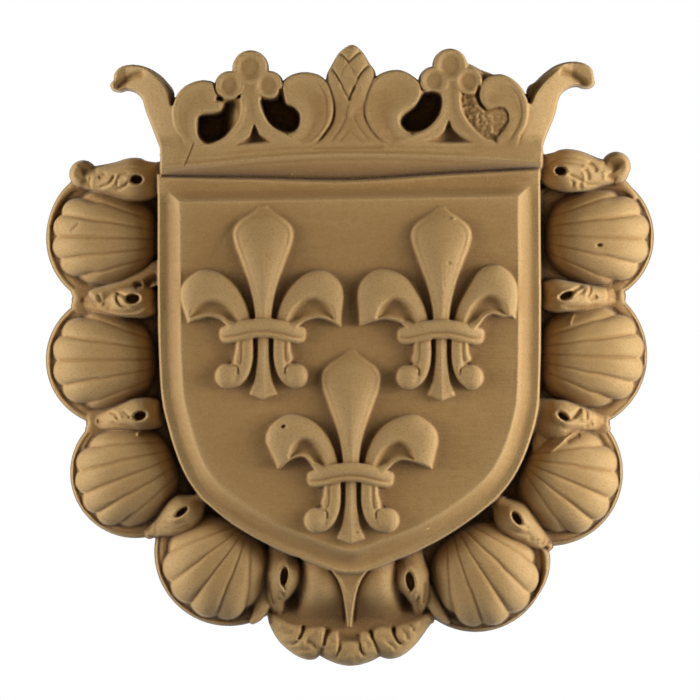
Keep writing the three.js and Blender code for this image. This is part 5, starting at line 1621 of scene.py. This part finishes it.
def painted_shade_patches():
    """How much painted shade each point of the canvas gets: along the shells' rims, most on the right and low
    down, on the fringe of the lower shell, and on the slope and at the ends of the crown's band."""
    level = rows[:, None]
    # painted shade along the shells' rims, where they lie in shadow
    rim_shade = np.where(columns > 0, RIGHT_RIM_SHADE, LEFT_RIM_SHADE) + LOW_RIM_SHADE * below(level, *LOW_SHELLS)
    painted_shade = rim_shade * below(edge, *RIM_EDGE) * below(height, *RIM_LOW)
    strength, middle, width = FRINGE_SHADE
    painted_shade += strength * bump(level - middle, width) * below(np.abs(columns), *FRINGE_ENDS)
    strength, middle, width = SLOPE_SHADE
    painted_shade += strength * bump(level - middle, width) * (np.abs(columns) < SLOPE_HALF)
    for x0, z0 in BAND_ENDS:
        painted_shade += BAND_END_SHADE * bump(np.hypot(columns - x0, level - z0), END_SIZE)
    return painted_shade


def shade_and_wear(mesh):
    """Notes on the mesh how deep each point lies in a hollow, to be painted darker for dirt and painted
    shade, and how far it stands out, to be painted paler for wear and painted highlight.
    """
    wide, near, fine = (blur(height, size) - height for size in SHADE_AND_WEAR_SIZES)
    low_down, outermost = below(height, *LOW_DOWN), below(edge, *OUTERMOST)
    raised = ease((height - RAISED_FROM) / RAISED_RUN)

    def weighed(weights, limits, more):
        signs = (wide, near, fine, low_down, outermost)
        first, *others = (weight * sign for weight, sign in zip(weights, signs))
        return sum(others, np.clip(first, *limits)) + more

    # painted shade, with some dirt: darker in hollows, low down, near the outline and in the painted shade
    # patches
    hollow = np.clip(weighed(SHADE_AND_DIRT_WEIGHTS, SHADE_AND_DIRT_LIMITS, painted_shade_patches()), 0, MOST_SHADE_AND_DIRT)
    # painted highlight, with some wear: paler where it stands out and on the raised forms
    highlight_and_wear = np.clip(weighed(HIGHLIGHT_AND_WEAR_WEIGHTS, HIGHLIGHT_AND_WEAR_LIMITS, RAISED_WEIGHT * raised), 0, 1)
    corners = np.zeros(len(mesh.loops), int)
    mesh.loops.foreach_get("vertex_index", corners)
    at_back = np.repeat(faces_back(mesh), [face.loop_total for face in mesh.polygons])
    for name, values in (("hollow", hollow), ("highlight_and_wear", highlight_and_wear)):
        noted = np.where(at_back, 0, sampled(values, mesh)[corners])
        mesh.attributes.new(name, "FLOAT", "CORNER").data.foreach_set("value", noted)


def finish_material():
    """Dry tan composition: painted darker in the hollows for dirt and painted shade, and paler where it
    stands out for wear and painted highlight, with a faint grain.
    """
    material = bpy.data.materials.new("dry tan composition")
    material.use_nodes = True
    nodes, links = material.node_tree.nodes, material.node_tree.links
    shader = nodes["Principled BSDF"]

    def mixed(a, b, share):
        both = nodes.new("ShaderNodeMix")
        both.data_type = "RGBA"
        for socket, value in ((both.inputs[0], share), (both.inputs[6], a), (both.inputs[7], b)):
            if isinstance(value, bpy.types.NodeSocket):
                links.new(value, socket)
            else:
                socket.default_value = value
        return both.outputs[2]

    def noise(scale, detail, stretch=(1, 1, 1)):
        place = nodes.new("ShaderNodeTexCoord")
        mapping = nodes.new("ShaderNodeMapping")
        mapping.inputs["Scale"].default_value = stretch
        pattern = nodes.new("ShaderNodeTexNoise")
        pattern.inputs["Scale"].default_value = scale
        pattern.inputs["Detail"].default_value = detail
        links.new(place.outputs["Object"], mapping.inputs["Vector"])
        links.new(mapping.outputs["Vector"], pattern.inputs["Vector"])
        return pattern.outputs["Fac"]

    def ranged(value, low_end, high_end, top):
        made = nodes.new("ShaderNodeMapRange")
        made.inputs["From Min"].default_value = low_end
        made.inputs["From Max"].default_value = high_end
        made.inputs["To Max"].default_value = top
        links.new(value, made.inputs["Value"])
        return made.outputs[0]

    def noted(name):
        made = nodes.new("ShaderNodeAttribute")
        made.attribute_name = name
        return made.outputs["Fac"]

    colour = TAN
    for tone, pattern, low_end, high_end, strength in FINISH_LAYERS:
        shows = noted(pattern) if isinstance(pattern, str) else noise(*pattern)
        colour = mixed(colour, tone, ranged(shows, low_end, high_end, strength))
    links.new(colour, shader.inputs["Base Color"])
    for name, value in FINISH_SURFACE.items():
        shader.inputs[name].default_value = value
    grain = nodes.new("ShaderNodeBump")
    grain.inputs["Strength"].default_value = WEAVE_STRENGTH
    grain.inputs["Distance"].default_value = WEAVE_HEIGHT
    weave = nodes.new("ShaderNodeMath")
    for socket, pattern in zip(weave.inputs, WEAVE):
        links.new(noise(*pattern), socket)
    links.new(weave.outputs[0], grain.inputs["Height"])
    links.new(grain.outputs["Normal"], shader.inputs["Normal"])
    return material


def soft_light(name, off, clock, distance, size, power, colour):
    """A soft box that looks at the ornament. off is its angle from straight in front, and clock the way it
    lies as seen from there, in degrees from the right."""
    light = bpy.data.lights.new(name, "AREA")
    light.shape = "SQUARE"
    light.size = size
    light.energy = power
    light.color = colour
    lamp = bpy.data.objects.new(name, light)
    turn, round_front = math.radians(off), math.radians(clock)
    aside = distance * math.sin(turn)
    lamp.location = (aside * math.cos(round_front), -distance * math.cos(turn), aside * math.sin(round_front))
    lamp.rotation_euler = (-lamp.location).to_track_quat("-Z", "Y").to_euler()
    lamp.visible_camera = False
    bpy.context.scene.collection.objects.link(lamp)


def white_world(scene):
    """White where the camera sees it, and much dimmer as a light on the ornament."""
    world = bpy.data.worlds.new("studio")
    scene.world = world
    world.use_nodes = True
    nodes, links = world.node_tree.nodes, world.node_tree.links
    shown, fill = nodes["Background"], nodes.new("ShaderNodeBackground")
    for background, strength in ((shown, 1), (fill, FILL_LIGHT)):
        background.inputs["Color"].default_value = (1, 1, 1, 1)
        background.inputs["Strength"].default_value = strength
    paths = nodes.new("ShaderNodeLightPath")
    both = nodes.new("ShaderNodeMixShader")
    links.new(paths.outputs["Is Camera Ray"], both.inputs[0])
    links.new(fill.outputs[0], both.inputs[1])
    links.new(shown.outputs[0], both.inputs[2])
    links.new(both.outputs[0], nodes["World Output"].inputs[0])


def pale_floor(scene):
    """A pale floor far below, which throws no light up on the ornament."""
    corners = [(x * FLOOR_HALF, y * FLOOR_HALF, -FLOOR_DROP) for x, y in ((-1, -1), (1, -1), (1, 1), (-1, 1))]
    mesh = bpy.data.meshes.new("floor")
    mesh.from_pydata(corners, [], [(0, 1, 2, 3)])
    floor = bpy.data.objects.new("floor", mesh)
    scene.collection.objects.link(floor)
    pale = bpy.data.materials.new("pale floor")
    pale.use_nodes = True
    shader = pale.node_tree.nodes["Principled BSDF"]
    shader.inputs["Base Color"].default_value = FLOOR_TONE
    shader.inputs["Emission Color"].default_value = FLOOR_TONE
    shader.inputs["Emission Strength"].default_value = FLOOR_GLOW
    mesh.materials.append(pale)
    floor.visible_diffuse = False


def studio():
    """The white surroundings, the lights, the floor and the camera."""
    scene = bpy.context.scene
    scene.view_settings.view_transform = "Standard"
    white_world(scene)
    for light in LIGHTS:
        soft_light(*light)
    pale_floor(scene)
    camera = bpy.data.cameras.new("camera")
    view = bpy.data.objects.new("camera", camera)
    scene.collection.objects.link(view)
    scene.camera = view
    camera.sensor_width = SENSOR_WIDTH
    camera.lens = SENSOR_WIDTH * CAMERA_DISTANCE / SHOWN_WIDTH
    camera.clip_start, camera.clip_end = CAMERA_CLIP
    view.location = (CAMERA_X, -CAMERA_DISTANCE - RELIEF_DEPTH, CAMERA_Z)
    view.rotation_euler = (math.pi / 2, 0, 0)


finish = finish_material()
relief(finish)
onlay = bpy.data.objects.new("carved_onlay", closed_mesh(*lifted()))
bpy.context.scene.collection.objects.link(onlay)
thinned(onlay)
onlay.data.materials.clear()
onlay.data.materials.append(finish)
onlay.data.polygons.foreach_set("use_smooth", ~faces_back(onlay.data))
shade_and_wear(onlay.data)
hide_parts(NODE)
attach(onlay, "root")
studio()
